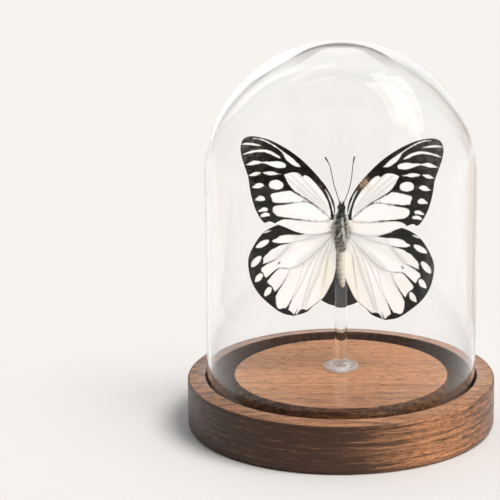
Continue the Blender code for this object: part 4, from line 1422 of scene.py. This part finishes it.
def make_world(settings):
    """Even warm white from above and behind, dim behind the camera, and brighter low at the back."""
    world = bpy.data.worlds.new("studio")
    bpy.context.scene.world = world
    world.use_nodes = True
    sky = Tree(world.node_tree)
    way = sky.node("ShaderNodeTexCoord", {}, output="Generated")

    def toward(direction):
        """How far each way looks in a direction: their dot product."""
        direction = Vector(direction).normalized()
        return sky.node("ShaderNodeVectorMath", {"operation": "DOT_PRODUCT"}, way, direction, output="Value")

    lit = toward((0.20, 0.75, 0.63)).step(-0.35, 0.45, settings.shade)
    glow = toward((0.0, 0.98, 0.20)).step(0.80, 0.96)
    colour = sky.mix(glow, sky.mix(lit, (0.0, 0.0, 0.0), (1.0, 0.985, 0.965)), (1.45, 1.43, 1.40))
    background = sky.nodes["Background"]
    sky.plug(colour, background.inputs["Color"])
    background.inputs["Strength"].default_value = settings.sky


def make_camera():
    """The photographed view: distance and lens from the ellipses of the base, axis right of the middle."""
    lens = bpy.data.cameras.new("camera")
    lens.sensor_width = SENSOR
    lens.lens = SENSOR * FOCAL_PIXELS / FRAME_PIXELS
    lens.shift_x = (FRAME_PIXELS / 2 - AXIS_COLUMN) / FRAME_PIXELS
    lens.clip_end = 60.0
    camera = placed("camera", lens)
    back, up = math.cos(CAMERA_PITCH) * CAMERA_DISTANCE, math.sin(CAMERA_PITCH) * CAMERA_DISTANCE
    camera.location = (0.0, -back, CAMERA_AIM + up)
    camera.rotation_euler = (math.pi / 2 - CAMERA_PITCH, 0.0, 0.0)
    bpy.context.scene.camera = camera


# Operators

class DOME_OT_make_base(Operator):
    """Turn the walnut base with its ring groove"""
    bl_idname = "butterfly_dome.make_base"
    bl_label = "Walnut base"

    def execute(self, context):
        settings = context.scene.butterfly_base
        make_base_skin(settings, walnut(settings))
        return {"FINISHED"}


class DOME_OT_make_glass(Operator):
    """Blow the glass dome"""
    bl_idname = "butterfly_dome.make_glass"
    bl_label = "Glass dome"

    def execute(self, context):
        settings = context.scene.butterfly_glass
        make_dome_skin(settings, dome_glass(settings))
        return {"FINISHED"}


class DOME_OT_make_stand(Operator):
    """Make the clear rod, its flanged foot and the backing disc"""
    bl_idname = "butterfly_dome.make_stand"
    bl_label = "Rod, foot and disc"

    def execute(self, context):
        settings = context.scene.butterfly_stand
        clear = clear_acrylic(settings)
        make_rod(clear)
        make_foot(settings, clouded_acrylic(settings))
        make_disc(board_finish(settings))
        return {"FINISHED"}


class DOME_OT_make_wings(Operator):
    """Spread the four wings, with their veins and markings"""
    bl_idname = "butterfly_dome.make_wings"
    bl_label = "Wings"
    def execute(self, context):
        settings = context.scene.butterfly_wings
        finish = wing_finish(settings)
        fore = ((FOREWING_FRONT, FOREWING_REAR), 0.0, FOREWING_VEINS, forewing_pleats, forewing_marks)
        hind = (
            (HINDWING_FRONT, HINDWING_REAR), HINDWING_DROP, HINDWING_VEINS, hindwing_pleats, hindwing_marks)
        wings = (
            (-1, LEFT_SETTING, "left_forewing", fore), (1, RIGHT_FOREWING_SETTING, "right_forewing", fore),
            (-1, LEFT_SETTING, "left_hindwing", hind), (1, RIGHT_HINDWING_SETTING, "right_hindwing", hind))
        for seed, (side, setting, wing, form) in enumerate(wings):
            grid, names = wing_grid(settings, side, setting, *form, seed)
            new_skin(f"{wing}_skin", grid, finish, "wing_scales", names, replaced=(wing,))
        return {"FINISHED"}


class DOME_OT_make_body(Operator):
    """Make the body, its hair, the eyes, the feelers and the folded legs"""
    bl_idname = "butterfly_dome.make_body"
    bl_label = "Body"

    def execute(self, context):
        settings = context.scene.butterfly_body
        hair = hair_finish(settings)
        chitin = chitin_finish()
        make_thorax(hair)
        make_abdomen(abdomen_finish(settings))
        make_hair(settings, hair)
        make_eyes(eye_finish(), chitin)
        make_antennae(chitin)
        make_legs(chitin)
        return {"FINISHED"}


class DOME_OT_make_stage(Operator):
    """Lay the floor and set the lights and the camera"""
    bl_idname = "butterfly_dome.make_stage"
    bl_label = "Stage"
    def execute(self, context):
        settings = context.scene.butterfly_stage
        context.scene.view_settings.view_transform = "Standard"
        make_camera()
        make_floor(settings)
        make_flag()
        make_world(settings)
        make_reflections(settings)
        make_backdrop()
        make_table_sheets()
        make_lamps(settings)
        return {"FINISHED"}


class DOME_PT_panel(Panel):
    """Lists the steps that build the piece"""
    bl_idname = "DOME_PT_panel"
    bl_label = "Butterfly Dome"
    bl_space_type = "VIEW_3D"
    bl_region_type = "UI"
    bl_category = "Butterfly Dome"

    def draw(self, context):
        for operator in OPERATORS:
            self.layout.operator(operator.bl_idname)


SETTINGS = {
    "butterfly_base": BaseSettings, "butterfly_glass": GlassSettings, "butterfly_stand": StandSettings,
    "butterfly_wings": WingSettings, "butterfly_body": BodySettings, "butterfly_stage": StageSettings}
OPERATORS = (
    DOME_OT_make_stage, DOME_OT_make_base, DOME_OT_make_glass, DOME_OT_make_stand, DOME_OT_make_wings,
    DOME_OT_make_body)
CLASSES = (*SETTINGS.values(), *OPERATORS, DOME_PT_panel)


def register():
    for made in CLASSES:
        bpy.utils.register_class(made)
    for name, group in SETTINGS.items():
        setattr(bpy.types.Scene, name, PointerProperty(type=group))


def unregister():
    for name in SETTINGS:
        delattr(bpy.types.Scene, name)
    for made in reversed(CLASSES):
        bpy.utils.unregister_class(made)


def main():
    """Build everything in order."""
    register()
    bpy.ops.butterfly_dome.make_stage()
    bpy.ops.butterfly_dome.make_base()
    bpy.ops.butterfly_dome.make_glass()
    bpy.ops.butterfly_dome.make_stand()
    bpy.ops.butterfly_dome.make_wings()
    bpy.ops.butterfly_dome.make_body()


if __name__ == "__main__":
    main()
